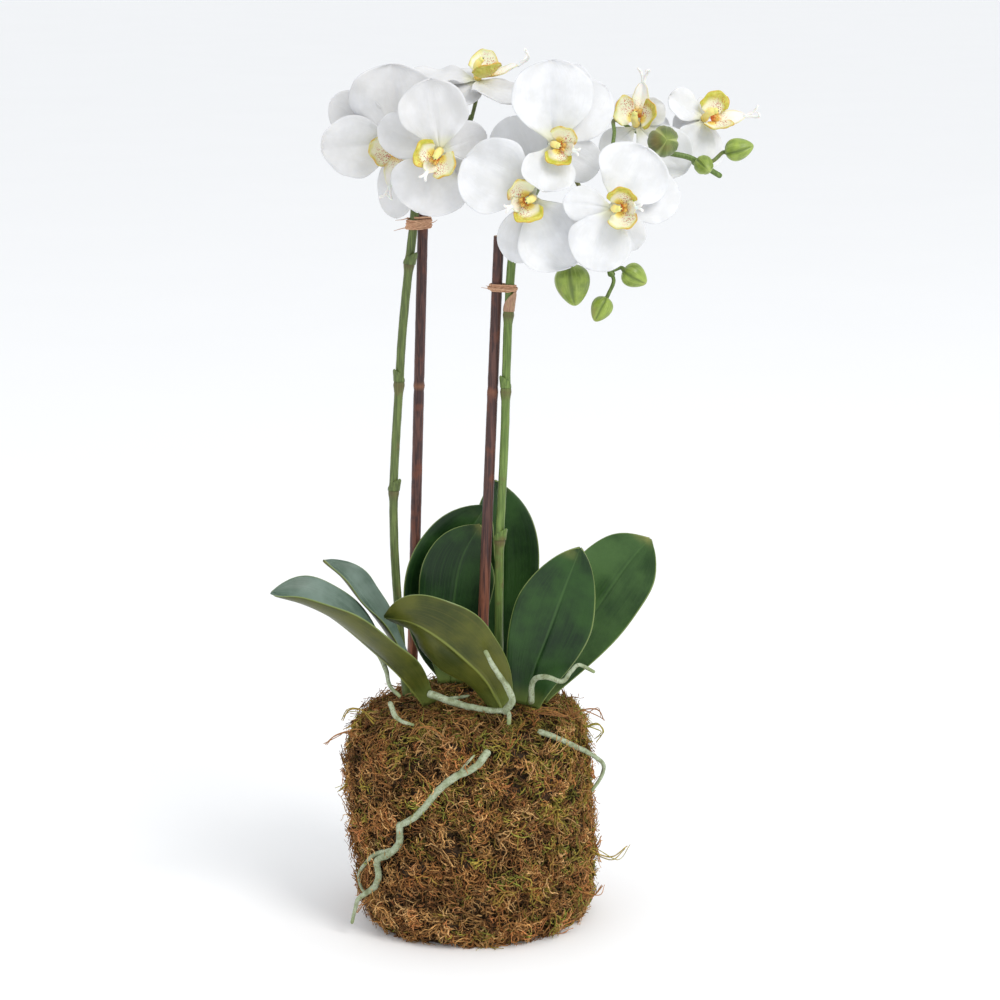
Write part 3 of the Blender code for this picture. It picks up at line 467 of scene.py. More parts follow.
def path_frames(path):
    """Tangents and two normals along a path, turning as little as they can."""
    tangents = unit(np.gradient(path, axis=0))
    helper = np.eye(3)[np.argmin(np.abs(tangents[0]))]
    normal = unit(np.cross(tangents[0], helper))
    normals = []
    for tangent in tangents:
        normal = unit(normal - tangent * np.dot(normal, tangent))
        normals.append(normal)
    normals = np.array(normals)
    return tangents, normals, np.cross(tangents, normals)


# Rings of a tube's domed end, in radii: distance past the end of the path, and size.
DOME = ((1.0, 0.25), (0.92, 0.6), (0.6, 0.88))


def add_tube(shape, path, radii, sides=16, slot=0, rough=0.0, grain=300.0, seed=1, **values):
    """A closed round tube with domed ends. Rough is how far its skin wanders, as a share of its radius."""
    radii = np.broadcast_to(np.asarray(radii, float), len(path))
    tangents, normals, sides_of = path_frames(path)
    start = [path[0] - tangents[0] * radii[0] * reach for reach, _ in DOME]
    end = [path[-1] + tangents[-1] * radii[-1] * reach for reach, _ in reversed(DOME)]
    centres = np.vstack([start, path, end])
    starts = [radii[0] * share for _, share in DOME]
    ends = [radii[-1] * share for _, share in reversed(DOME)]
    sizes = np.concatenate([starts, radii, ends])
    spread = np.pad(np.arange(len(path)), len(DOME), "edge")
    turn = 2 * np.pi * np.arange(sides) / sides
    ring = np.cos(turn)[None, :, None] * normals[spread][:, None]
    ring = ring + np.sin(turn)[None, :, None] * sides_of[spread][:, None]
    points = centres[:, None] + ring * sizes[:, None, None]
    if rough:
        points = points + ring * (sizes[:, None] * lumpy(points, grain, seed) * rough)[..., None]
    share = np.repeat(np.linspace(0, 1, len(centres)), sides)
    for key, value in values.items():
        value = np.asarray(value, float)
        if value.ndim == 1:
            values[key] = np.repeat(value[spread], sides)
    shape.add(points, ringed_faces(len(centres), sides), slot, share=share, **values)


def add_turned(shape, foot, axis, profile, sides=24, slot=0, rough=0.0, **values):
    """A closed shape of rings round an axis, from (distance along it, radius) pairs."""
    axis = unit(axis)
    across = unit(np.cross(axis, np.eye(3)[np.argmin(np.abs(axis))]))
    third = np.cross(axis, across)
    turn = 2 * np.pi * np.arange(sides) / sides
    ring = np.cos(turn)[:, None] * across + np.sin(turn)[:, None] * third
    levels, radii = np.array(profile).T
    points = foot + axis * levels[:, None, None] + ring[None] * radii[:, None, None]
    if rough:
        points = points + ring[None] * (radii[:, None] * lumpy(points, 260.0, 3) * rough)[..., None]
    for key, value in values.items():
        if np.ndim(value) == 1:
            values[key] = np.repeat(np.asarray(value, float), sides)
    shape.add(points, ringed_faces(len(profile), sides), slot, **values)


def add_egg(shape, centre, axis, length, width, slot=0, sides=20, rows=12, **values):
    """A closed ellipsoid."""
    turn = np.linspace(0.12, math.pi - 0.12, rows)
    profile = [(-math.cos(step) * length / 2, math.sin(step) * width / 2) for step in turn]
    add_turned(shape, np.asarray(centre, float), axis, profile, sides, slot, **values)


def add_slab(shape, grid, thickness, edge, slot=0, **values):
    """A closed sheet through a grid of points, thinning to its edges. The value under is 1 below it."""
    rows, columns = grid.shape[:2]
    normal = unit(np.cross(np.gradient(grid, axis=1), np.gradient(grid, axis=0)))
    i, j = np.meshgrid(np.arange(rows), np.arange(columns), indexing="ij")
    inward = np.minimum.reduce([i + 1.5, rows - 1 - i, j, columns - 1 - j])
    half = (edge + (thickness - edge) * np.sqrt(np.clip(inward / 4, 0, 1))) / 2
    points = np.concatenate([grid + normal * half[..., None], grid - normal * half[..., None]])
    front = grid_quads(rows, columns)
    count = rows * columns
    loop = [*range(columns), *(columns * k + columns - 1 for k in range(1, rows))]
    loop += [*range(count - 2, count - columns - 1, -1), *(columns * k for k in range(rows - 2, 0, -1))]
    loop = np.array(loop)
    after = np.roll(loop, -1)
    rim = np.stack([after, loop, loop + count, after + count], -1)
    for key, value in values.items():
        if np.ndim(value):
            flat = np.broadcast_to(value, (rows, columns)).ravel()
            values[key] = np.concatenate([flat, flat])
    under = np.repeat([0.0, 1.0], count)
    shape.add(points, [front, front[:, ::-1] + count, rim], slot, under=under, **values)


# ---------------------------------------------------------------- materials


class Look:
    """A material put together node by node. Colours are red, green and blue on a screen, from 0 to 255."""

    def __init__(self, name, **fixed):
        self.material = bpy.data.materials.new(name)
        self.material.use_nodes = True
        self.tree = self.material.node_tree
        self.shader = self.tree.nodes["Principled BSDF"]
        for key, value in fixed.items():
            self.shader.inputs[key.replace("_", " ")].default_value = value
        self.place = self.node("ShaderNodeTexCoord").outputs["Object"]

    def node(self, kind, inputs=None, **settings):
        made = self.tree.nodes.new(kind)
        for key, value in settings.items():
            setattr(made, key, value)
        for key, value in (inputs or {}).items():
            self.give(made.inputs[key], value)
        return made

    def give(self, socket, value):
        if isinstance(value, bpy.types.NodeSocket):
            self.tree.links.new(value, socket)
        else:
            socket.default_value = value

    def value(self, name):
        return self.node("ShaderNodeAttribute", attribute_name=name).outputs["Fac"]

    def math(self, operation, *values):
        return self.node("ShaderNodeMath", dict(enumerate(values)), operation=operation).outputs[0]

    def times(self, first, second):
        return self.math("MULTIPLY", first, second)

    def plus(self, first, second):
        return self.math("ADD", first, second)

    def noise(self, scale, detail=3, roughness=0.55, vector=None):
        inputs = {"Vector": vector or self.place, "Scale": scale, "Detail": detail, "Roughness": roughness}
        return self.node("ShaderNodeTexNoise", inputs).outputs["Fac"]

    def streaks(self, detail, roughness, *scales):
        """Noise over the object's own coordinates, stretched along each axis."""
        place = self.node("ShaderNodeVectorMath", {0: self.place, 1: scales}, operation="MULTIPLY")
        return self.noise(1.0, detail, roughness, place.outputs[0])

    def lines(self, roughness, x, y):
        """Noise over two values of the surface."""
        return self.noise(1.0, 3, roughness, self.node("ShaderNodeCombineXYZ", {"X": x, "Y": y}).outputs[0])

    def dots(self, scale, low, high):
        """Round specks, 1 in their middles."""
        cells = self.node("ShaderNodeTexVoronoi", {"Vector": self.place, "Scale": scale})
        return self.step(cells.outputs["Distance"], low, high, 1.0, 0.0)

    def height(self):
        return self.node("ShaderNodeSeparateXYZ", {0: self.place}).outputs["Z"]

    def step(self, value, low, high, start=0.0, end=1.0):
        """Rises smoothly from start to end as the value goes from low to high."""
        inputs = {"Value": value, "From Min": low, "From Max": high, "To Min": start, "To Max": end}
        return self.node("ShaderNodeMapRange", inputs, interpolation_type="SMOOTHSTEP").outputs["Result"]

    def ramp(self, value, *stops):
        made = self.node("ShaderNodeValToRGB", {"Fac": value})
        elements = made.color_ramp.elements
        while len(elements) < len(stops):
            elements.new(1.0)
        for element, (position, colour) in zip(elements, stops):
            element.position = position
            element.color = colour if len(colour) == 4 else screen(*colour)
        return made.outputs["Color"]

    def mix(self, share, first, second, blend="MIX"):
        inputs = {0: share, 6: first, 7: second}
        return self.node("ShaderNodeMix", inputs, data_type="RGBA", blend_type=blend).outputs[2]

    def blend(self, share, first, second):
        return self.mix(share, screen(*first), screen(*second))

    def paint(self, share, *colour):
        """Lays a colour over what is there."""
        self.colour = self.mix(share, self.colour, screen(*colour))

    def finish(self, roughness, height=None, depth=0.0005, strength=1.0):
        self.give(self.shader.inputs["Base Color"], self.colour)
        self.give(self.shader.inputs["Roughness"], roughness)
        if height is not None:
            bump = self.node("ShaderNodeBump", {"Height": height, "Distance": depth, "Strength": strength})
            self.give(self.shader.inputs["Normal"], bump.outputs["Normal"])
        return self.material


def moss_core_look():
    look = Look("moss_core")
    grain = look.noise(420, 5)
    look.colour = look.ramp(grain, (0.3, (34, 24, 14)), (0.55, (66, 46, 24)), (0.75, (96, 74, 36)))
    return look.finish(look.step(grain, 0.2, 0.8, 0.8, 0.98), grain, 0.002)


# Moss colours by the hue that each strand has: browns and tans first, then greens.
MOSS_HUES = (
    (0.0, (92, 62, 36)), (0.2, (158, 112, 65)), (0.38, (188, 147, 93)), (0.5, (214, 178, 125)),
    (0.62, (188, 127, 80)), (0.72, (154, 103, 58)), (0.84, (154, 136, 62)), (1.0, (134, 142, 62)),
)


def moss_strand_look():
    look = Look("moss_strands", Specular_IOR_Level=0.2)
    grain = look.noise(700)
    shade = look.ramp(grain, (0.3, (0.75, 0.72, 0.68, 1)), (0.7, (1.75, 1.65, 1.5, 1)))
    look.colour = look.mix(1.0, look.ramp(look.value("hue"), *MOSS_HUES), shade, "MULTIPLY")
    # Painted shade: the strands darken towards the top of the ball, round the crown under the leaves.
    look.paint(look.step(look.height(), 0.118, 0.146, 0.0, 0.3), 24, 18, 10)
    # Painted shade: the root value darkens each strand towards its foot, and more so where it is sunk among
    # the other strands.
    look.paint(look.value("root"), 44, 30, 16)
    return look.finish(look.step(grain, 0.3, 0.7, 0.6, 0.9))


def cane_look():
    look = Look("cane", Specular_IOR_Level=0.4)
    streaks = look.streaks(4, 0.6, 900, 900, 28)
    look.colour = look.blend(look.step(streaks, 0.4, 0.66), (58, 38, 37), (100, 68, 60))
    low = look.step(look.height(), 0.17, 0.27, 0.9, 0.0)
    look.paint(look.times(low, look.step(streaks, 0.3, 0.6)), 152, 90, 62)
    look.paint(look.step(look.noise(60), 0.54, 0.7, 0.0, 0.75), 112, 64, 46)
    look.paint(look.value("ring"), 124, 82, 58)
    look.paint(look.value("cut"), 176, 140, 96)
    return look.finish(look.step(streaks, 0.3, 0.7, 0.38, 0.62), streaks, 0.0002, 0.6)


def stem_look(name, dull, bright):
    look = Look(name, Specular_IOR_Level=0.45)
    streaks = look.streaks(3, 0.5, 1100, 1100, 60)
    blotch = look.noise(75)
    look.colour = look.blend(look.step(streaks, 0.35, 0.7), dull, bright)
    look.paint(look.step(blotch, 0.56, 0.74, 0.0, 0.7), 104, 84, 52)
    look.paint(look.step(look.noise(950, 2), 0.64, 0.72, 0.0, 0.55), 90, 66, 44)
    look.paint(look.value("node"), 92, 78, 44)
    return look.finish(look.step(blotch, 0.3, 0.7, 0.36, 0.55), streaks, 0.00015, 0.5)


def bract_look():
    look = Look("bract")
    grain = look.streaks(4, 0.5, 900, 900, 120)
    look.colour = look.ramp(grain, (0.3, (140, 104, 82)), (0.55, (178, 140, 112)), (0.8, (120, 110, 62)))
    return look.finish(0.6, grain, 0.0002)


def raffia_look():
    look = Look("raffia")
    grain = look.streaks(4, 0.6, 500, 500, 2400)
    look.colour = look.ramp(grain, (0.25, (146, 100, 70)), (0.5, (196, 150, 118)), (0.75, (226, 192, 158)))
    return look.finish(look.step(grain, 0.2, 0.8, 0.7, 0.9), grain, 0.0001)


def leaf_look(name, deep, fresh):
    look = Look(name, Specular_IOR_Level=0.28, Coat_Weight=0.05, Coat_Roughness=0.3)
    across, along = look.value("across"), look.value("along")
    out = look.math("ABSOLUTE", across)
    lines = look.lines(0.6, look.times(across, 22), look.times(along, 2.5))
    cloud = look.noise(38, 4)
    look.colour = look.blend(look.step(cloud, 0.35, 0.7), deep, fresh)
    look.paint(look.step(lines, 0.42, 0.75, 0.0, 0.4), *fresh)
    look.paint(look.step(out, 0.015, 0.06, 0.35, 0.0), 78, 112, 58)
    upper = look.colour
    look.colour = look.blend(look.step(cloud, 0.35, 0.68), (50, 60, 14), (84, 88, 26))
    look.paint(look.step(lines, 0.45, 0.78, 0.0, 0.45), 92, 88, 34)
    look.paint(look.step(out, 0.012, 0.045, 0.7, 0.0), 134, 142, 66)
    look.colour = look.mix(look.value("under"), upper, look.colour)
    look.paint(look.step(out, 0.972, 0.998, 0.0, 0.7), 132, 148, 84)
    look.paint(look.times(look.step(along, 0.9, 1.0), look.step(cloud, 0.45, 0.7, 0.0, 0.6)), 146, 140, 78)
    look.paint(look.step(along, 0.0, 0.16, 0.55, 0.0), 134, 150, 78)
    height = look.plus(lines, look.times(look.noise(700), 0.25))
    return look.finish(look.step(cloud, 0.3, 0.7, 0.3, 0.42), height, 0.00025, 0.7)


def tepal_look(name, white, light):
    look = Look(name, Specular_IOR_Level=0.3, Subsurface_Weight=0.25, Subsurface_Scale=0.004)
    look.shader.inputs["Subsurface Radius"].default_value = (1.0, 0.9, 0.75)
    along = look.value("along")
    lines = look.lines(0.55, look.times(look.value("across"), 16), look.times(along, 3.0))
    cloud = look.noise(90)
    look.colour = look.blend(look.step(cloud, 0.35, 0.7), white, light)
    look.paint(look.step(lines, 0.5, 0.72, 0.0, 0.3), 206, 208, 207)
    look.paint(look.step(along, 0.02, 0.2, 0.6, 0.0), 214, 216, 176)
    height = look.plus(lines, look.times(look.noise(2200, 2), 0.3))
    return look.finish(look.step(cloud, 0.3, 0.7, 0.5, 0.65), height, 0.0003, 0.55)


LIP_GLOW = {"Specular_IOR_Level": 0.35, "Subsurface_Weight": 0.15, "Subsurface_Scale": 0.003}


def lip_side_look():
    look = Look("lip_side", **LIP_GLOW)
    across, along, cloud = look.value("across"), look.value("along"), look.noise(260)
    throat = (
        (0.0, (214, 170, 44)), (0.2, (236, 222, 128)), (0.36, (240, 240, 222)), (0.55, (236, 238, 214)),
    )
    lime = look.blend(look.step(cloud, 0.35, 0.7), (184, 182, 62), (220, 216, 116))
    drift = look.plus(along, look.times(cloud, 0.35))
    wide = look.step(look.plus(drift, look.value("lime")), 0.95, 1.25)
    inner = look.mix(wide, look.ramp(along, *throat), lime)
    outer = look.mix(look.step(along, 0.2, 0.7), screen(226, 216, 140), lime)
    look.colour = look.mix(look.value("under"), inner, outer)
    zone = look.times(look.step(across, -0.5, 0.7), look.step(along, 0.75, 0.95, 1.0, 0.15))
    look.paint(look.times(look.dots(1050.0, 0.27, 0.43), zone), 186, 62, 42)
    patch = look.times(look.step(across, 0.6, 1.0, 0.0, 0.55), look.step(cloud, 0.45, 0.66))
    look.paint(patch, 206, 98, 48)
    rim = look.times(look.step(along, 0.955, 0.99), look.step(cloud, 0.4, 0.6, 0.1, 0.85))
    look.paint(rim, 196, 148, 58)
    return look.finish(0.45, cloud, 0.0003, 0.6)


def lip_middle_look():
    look = Look("lip_middle", **LIP_GLOW)
    along, across = look.value("along"), look.math("ABSOLUTE", look.value("across"))
    white = ((0.0, (206, 96, 38)), (0.14, (226, 196, 104)), (0.3, (236, 234, 208)), (0.7, (234, 234, 230)))
    look.colour = look.ramp(along, *white)
    zone = look.step(along, 0.25, 0.6, 0.9, 0.0)
    look.paint(look.times(look.dots(1150.0, 0.2, 0.36), zone), 176, 50, 34)
    look.paint(look.step(across, 0.75, 1.0, 0.0, 0.5), 200, 194, 96)
    return look.finish(0.45, look.noise(260), 0.0003, 0.6)


def column_look():
    look = Look("column", Specular_IOR_Level=0.4, Subsurface_Weight=0.2, Subsurface_Scale=0.003)
    share, cloud = look.value("share"), look.noise(420)
    look.colour = look.ramp(share, (0.1, (232, 204, 108)), (0.55, (238, 222, 140)), (0.9, (238, 222, 136)))
    spots = look.times(look.step(cloud, 0.62, 0.7, 0.0, 0.6), look.step(share, 0.2, 0.6, 1.0, 0.0))
    look.paint(spots, 196, 110, 46)
    return look.finish(0.4, cloud, 0.0002, 0.5)


def eye_look():
    look = Look("column_eye")
    look.colour = look.blend(look.noise(1500, 2), (52, 34, 22), (92, 58, 34))
    return look.finish(0.5)


def bud_look(name, deep, fresh, ridge, seam):
    look = Look(name, Specular_IOR_Level=0.5, Coat_Weight=0.15, Coat_Roughness=0.3)
    cloud, level = look.noise(140), look.value("level")
    lines = look.lines(0.5, look.times(look.value("around"), 26), level)
    look.colour = look.blend(look.step(cloud, 0.35, 0.7), deep, fresh)
    look.paint(look.step(lines, 0.45, 0.75, 0.0, 0.4), *ridge)
    look.paint(look.value("groove"), *seam)
    cheek = look.step(look.noise(60, 2), 0.52, 0.7, 0.0, 0.5)
    look.paint(look.times(cheek, look.step(level, -0.2, 0.6)), 140, 116, 58)
    look.paint(look.step(level, 0.75, 1.1, 0.0, 0.6), *ridge)
    return look.finish(look.step(cloud, 0.3, 0.7, 0.34, 0.48), lines, 0.0004, 0.7)


def root_look():
    look = Look("aerial_root", Specular_IOR_Level=0.35)
    cloud = look.noise(170, 4)
    greys = ((0.3, (110, 118, 84)), (0.45, (148, 160, 128)), (0.6, (168, 178, 152)), (0.75, (124, 132, 92)))
    look.colour = look.ramp(cloud, *greys)
    look.paint(look.step(look.noise(900), 0.5, 0.68, 0.0, 0.7), 112, 106, 72)
    look.paint(look.step(look.value("tip"), 0.88, 1.0, 0.0, 0.6), 120, 134, 76)
    return look.finish(look.step(cloud, 0.3, 0.7, 0.55, 0.75), cloud, 0.0006, 0.8)


# ---------------------------------------------------------------- root ball

PROFILE = [(BALL_FOOT_RADIUS, 0.0)]
PROFILE += [(share * BALL_RADIUS, level * BALL_HEIGHT) for share, level in BALL_PROFILE]
PROFILE = np.array(PROFILE + [(0.0, BALL_HEIGHT)])
PROFILE_RUN = run_along(PROFILE)


def ball_lump(angle, height):
    """Share by which the hand-packed moss bulges at this angle and share of the height."""
    return (
        0.014 * np.sin(2 * angle + 0.6 + 2.2 * height)
        + 0.012 * np.sin(3 * angle + 2.1 - 3.0 * height)
        + 0.008 * np.sin(5 * angle + 5.0 * height)
    )


def ball_centre_x(height):
    return BALL_LEAN * np.sin(np.pi * np.clip(height, 0, 1) ** 1.5)


def ball_radius_at(angle, height):
    shares, heights = zip(*BALL_PROFILE)
    return BALL_RADIUS * np.interp(height, heights, shares) * (1 + ball_lump(angle, height))


def ball_side(angle_deg, height_mm, stand_off):
    """A point this far out from the side of the ball, at an angle from +X and a height below the crown."""
    angle = math.radians(angle_deg)
    height = 1 + height_mm * MM / BALL_HEIGHT
    radius = ball_radius_at(angle, height) + stand_off
    across = ball_centre_x(height) + radius * math.cos(angle)
    return np.array([across, radius * math.sin(angle), BALL_HEIGHT * height])


def ball_top(x, y):
    """Height of the top of the ball over a point."""
    angle = math.atan2(y, x)
    heights = [level for _, level in BALL_PROFILE[6:]]
    radii = [ball_radius_at(angle, level) for level in heights]
    reach = math.hypot(x - ball_centre_x(0.95), y)
    return BALL_HEIGHT * float(np.interp(-reach, [-r for r in radii], heights))


def profile_at(run):
    """Radius and height at a run up the ball's side from its foot."""
    return np.array([np.interp(run, PROFILE_RUN, PROFILE[:, axis]) for axis in (0, 1)])


def ball_skin(angle, run, stand_off):
    """Points over the ball, by angle and run up its side, this far out from its skin."""
    radius, height = profile_at(run)
    before = profile_at(np.maximum(run - SLOPE_REACH, 0))
    spread, rise = profile_at(np.minimum(run + SLOPE_REACH, PROFILE_RUN[-1])) - before
    steep = np.hypot(rise, spread)
    share = height / BALL_HEIGHT
    reach = radius * (1 + ball_lump(angle, share)) + stand_off * rise / steep
    level = height - stand_off * spread / steep
    across = ball_centre_x(share) + reach * np.cos(angle)
    return np.stack(np.broadcast_arrays(across, reach * np.sin(angle), np.maximum(level, 0.0004)), -1)


def moss_relief(places):
    """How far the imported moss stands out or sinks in, in metres."""
    return sum(depth * lumpy(places, scale, seed) for depth, scale, seed in MOSS_RELIEF)


def moss_hole(angle, run):
    """How deep a place lies in the open hollow."""
    aside = (angle + math.pi / 2) * BALL_RADIUS
    width, height = MOSS_HOLE_SIZE
    return MOSS_HOLE_DEPTH * np.exp(-((aside / width) ** 2) - ((run - MOSS_HOLE_RUN) / height) ** 2)


def make_moss_core():
    rows, columns = 84, 176
    runs = np.linspace(0.0, PROFILE_RUN[-1] - 0.0015, rows)[:, None]
    angles = 2 * np.pi * np.arange(columns)[None] / columns
    rough = moss_relief(ball_skin(angles, runs, 0.0))
    hole = moss_hole(angles - 2 * np.pi * (angles > np.pi), runs)
    points = ball_skin(angles, runs, rough - 0.0026 - hole)
    points[0, :, 2] = 0.0
    shape = Shape()
    shape.add(points, ringed_faces(rows, columns))
    piece(shape, "moss_core", [moss_core_look()], "moss", "moss_root_ball")


def add_strands(shape, points, radii, hue, root):
    """Closed three-sided strands, given as (strand, step, xyz) points."""
    count, steps = points.shape[:2]
    tangents = unit(np.gradient(points, axis=1))
    middle = points.mean(axis=(0, 1), keepdims=True) * [1, 1, 0]
    outward = unit((points - middle) * [1, 1, 0.4])
    side = unit(np.cross(tangents, outward))
    third = np.cross(tangents, side)
    turns = (0.0, 2 * math.pi / 3, 4 * math.pi / 3)
    rings = [radii[..., None] * (math.cos(turn) * side + math.sin(turn) * third) for turn in turns]
    corners = np.stack([points + ring for ring in rings], axis=2).reshape(-1, 3)
    corners[:, 2] = np.maximum(corners[:, 2], 0.0002)
    start = (np.arange(count) * steps * 3)[:, None, None]
    faces = [(block + start).reshape(-1, block.shape[1]) for block in ringed_faces(steps, 3)]
    # root carries each strand's painted shade.
    shape.add(corners, faces, hue=np.repeat(hue, steps * 3), root=np.repeat(root.ravel(), 3))


# Hues that a strand can have, and how often each comes up.
BROWNS = ((0.06, 0.2, 0.3, 0.4, 0.5, 0.62, 0.72), (0.16, 0.24, 0.2, 0.13, 0.07, 0.08, 0.12))
GREENS = ((0.82, 0.88, 0.98), (0.45, 0.35, 0.2))


def strand_hues(rng, points):
    """Mostly browns and tans, with more green towards the top and the right."""
    greener = np.clip(0.2 + 2.0 * points[:, 0] + 2.4 * (points[:, 2] - 0.07), 0.08, 0.6)
    brown = rng.choice(BROWNS[0], len(points), p=BROWNS[1])
    green = rng.choice(GREENS[0], len(points), p=GREENS[1])
    patch = 0.14 * lumpy(points, 55, 9)
    picked = np.where(rng.random(len(points)) < greener + patch, green, brown)
    return np.clip(picked + rng.normal(0, 0.025, len(points)), 0, 1)


def moss_tufts(rng, index, count, reach):
    """Angle, run, heading, heap, wildness, rise at the rim and hue of each tuft in a slice of the ball."""
    low = -math.pi + 2 * math.pi * index / MOSS_PIECES
    angle = low + rng.random(count) * 2 * math.pi / MOSS_PIECES
    run = rng.random(count * 3) * reach
    width = profile_at(run)[0] / BALL_RADIUS
    run = run[rng.random(len(run)) < np.clip(width, 0.08, 1)][:count]
    heading = rng.normal(0.0, 1.0, count) + np.where(rng.random(count) < 0.5, 0, math.pi)
    centres = ball_skin(angle, run, 0.0)
    wild = (rng.random(count) < 0.17) * rng.uniform(0.001, 0.0074, count)
    rim = bell(run - 0.139, 0.012) * rng.uniform(0, 0.0045, count)
    return angle, run, heading, moss_relief(centres), wild, rim, strand_hues(rng, centres)


def make_moss_strands():
    tufts = STRANDS_PER_PIECE // STRANDS_PER_TUFT
    total = tufts * STRANDS_PER_TUFT
    look = moss_strand_look()
    reach = PROFILE_RUN[-1] - 0.006
    shares = np.arange(STRAND_STEPS) / (STRAND_STEPS - 1)
    for index in range(MOSS_PIECES):
        rng = np.random.default_rng(MOSS_SEED + index)
        spread = [np.repeat(each, STRANDS_PER_TUFT) for each in moss_tufts(rng, index, tufts, reach)]
        angle, run, heading, heap, wild, rim, hue = spread
        angle = angle + rng.normal(0, 0.0012, total) / BALL_RADIUS
        run = np.clip(run + rng.normal(0, 0.0012, total), 0.0005, reach)
        heading = heading + rng.normal(0, 0.5, total)
        curl = rng.normal(0, 150, total)
        pace = (rng.uniform(0.0032, 0.0085, total) + 1.2 * wild) / (STRAND_STEPS - 1)
        lift = rng.uniform(0.0003, 0.0026, total)
        sunk = rng.uniform(-0.0028, 0.0002, total)
        path = []
        for share in shares:
            arched = lift * math.sin(math.pi * min(share * 1.15, 1.0))
            stand_off = heap + sunk + arched + (wild + rim) * share**1.5
            path.append(ball_skin(angle, run, stand_off - moss_hole(angle, run)))
            angle = angle + np.cos(heading) * pace / np.maximum(profile_at(run)[0], 0.006)
            run = np.clip(run + np.sin(heading) * pace, 0.0005, PROFILE_RUN[-1] - 0.003)
            heading = heading + curl * pace + rng.normal(0, 0.5, total)
        thick = rng.uniform(0.00030, 0.00068, total)[:, None]
        kinks = 1 + 0.28 * np.cos(np.pi * np.arange(STRAND_STEPS))
        radii = thick * (np.linspace(1.0, 0.4, STRAND_STEPS) * kinks)[None]
        # The root value is painted shade: it darkens each strand towards its foot, and more the deeper the
        # strand is sunk into the moss.
        depth = np.clip(0.43 - (sunk + heap)[:, None] / 0.0048, 0, 1)
        fading = 0.85 * np.linspace(1, 0, STRAND_STEPS)[None] ** 1.5
        root = np.clip(fading * depth + 0.45 * depth**2, 0, 0.9)
        hue = np.clip(hue + rng.normal(0, 0.04, total), 0, 1)
        shape = Shape()
        add_strands(shape, np.stack(path, axis=1), radii, hue, root)
        piece(shape, f"moss_strands_{index + 1}", [look], "moss")


# Longer strands that stand clear of the ball, as routes in millimetres from the crown with a hue each.
LOOSE_STRANDS = (
    (((70, -14, -98), (78, -16, -103), (87, -18, -104), (96, -18, -97)), 0.84),
    (((-70, -18, -28), (-80, -20, -22), (-88, -20, -24), (-94, -18, -30)), 0.12),
    (((-72, -12, -60), (-79, -12, -58), (-86, -10, -63)), 0.84),
    (((36, -50, 0), (46, -58, 1), (56, -54, -1), (54, -47, 1), (43, -46, 2), (36, -53, 1)), 0.1),
    (((68, -22, -18), (76, -26, -14), (80, -24, -20), (76, -20, -28)), 0.88),
    (((60, -38, -6), (67, -44, 0), (76, -44, 0), (80, -40, -8)), 0.14),
    (((-62, -34, -10), (-70, -38, -2), (-78, -38, -2), (-82, -34, -10)), 0.82),
    (((-20, -64, -10), (-26, -72, -4), (-34, -72, -3), (-38, -66, -9)), 0.16),
    (((66, -30, -120), (74, -34, -124), (80, -34, -118)), 0.12),
    (((-58, -36, -120), (-68, -40, -126), (-74, -38, -134)), 0.2),
    (((20, 66, -20), (24, 76, -16), (32, 78, -18), (36, 72, -26)), 0.3),
    (((-40, 58, -60), (-46, 66, -56), (-54, 64, -60)), 0.5),
)


def make_loose_strands():
    shape = Shape()
    rng = np.random.default_rng(77)
    for route, hue in LOOSE_STRANDS:
        for copy in range(3):
            drift = rng.normal(0, 1.1 * copy, (len(route), 3))
            path = smooth_path(from_crown(np.array(route) + drift), 18)
            path[:, 2] = np.maximum(path[:, 2], 0.001)
            thick = 0.00062 * np.linspace(1, 0.5, len(path)) * (1 - 0.2 * copy)
            tone = min(1.0, hue + 0.04 * copy)
            add_tube(shape, path, thick, 6, rough=0.5, grain=1400, seed=copy, hue=tone)
    piece(shape, "moss_loose_strands", [moss_strand_look()], "moss")


# ---------------------------------------------------------------- stakes, stems and ties


def stake_ends(table):
    at_moss, head = from_crown([table["at_moss"], table["head"]])
    return at_moss - unit(head - at_moss) * STAKE_DEPTH, head


def make_stake(name, table, look):
    foot, head = stake_ends(table)
    length = np.linalg.norm(head - foot)
    rows = [(0.0, STAKE_RADIUS * 0.9, 0.0, 1.0)]
    for share in np.linspace(0.004, 0.999, 120):
        near = min(abs(share - ring) * length for ring in table["rings"])
        swell = 1 + (STAKE_RING_SWELL - 1) * bell(near, 0.0016) - 0.05 * bell(near - 0.0035, 0.0012)
        radius = STAKE_RADIUS * (1 - STAKE_TAPER * share) * swell
        rows.append((share * length, radius, bell(near, 0.0014), 0.0))
    for level, share in STAKE_HEAD:
        rows.append((length + level, STAKE_RADIUS * (1 - STAKE_TAPER) * share, 0.0, 1.0))
    rows = np.array(rows)
    shape = Shape()
    add_turned(shape, foot, head - foot, rows[:, :2], 28, rough=0.035, ring=rows[:, 2], cut=rows[:, 3])
    piece(shape, name + "_cane", [look], "cane", name)


def stem_path(table):
    route = from_crown(table["route"])
    return np.vstack([route[0] - unit(route[1] - route[0]) * STEM_DEPTH, route])


def stem_radius(path, table):
    """Full thickness up to the arch, then thinning to the spike, with a swelling at each node."""
    arch = BALL_HEIGHT + table["arch_from"] * MM
    first = int(np.argmax(path[:, 2] > arch))
    run = run_along(path)
    past_arch = np.clip((run - run[first]) / SPIKE_THINS_OVER, 0, 1)
    radius = STEM_RADIUS + (SPIKE_RADIUS - STEM_RADIUS) * past_arch
    node = np.zeros(len(path))
    for level in table["node_levels"]:
        away = path[:, 2] - BALL_HEIGHT - level * MM
        swell = bell(away, STEM_NODE_LENGTH) * (past_arch == 0)
        radius = radius * (1 + STEM_NODE_SWELL * swell)
        node = np.maximum(node, swell)
    return radius, node


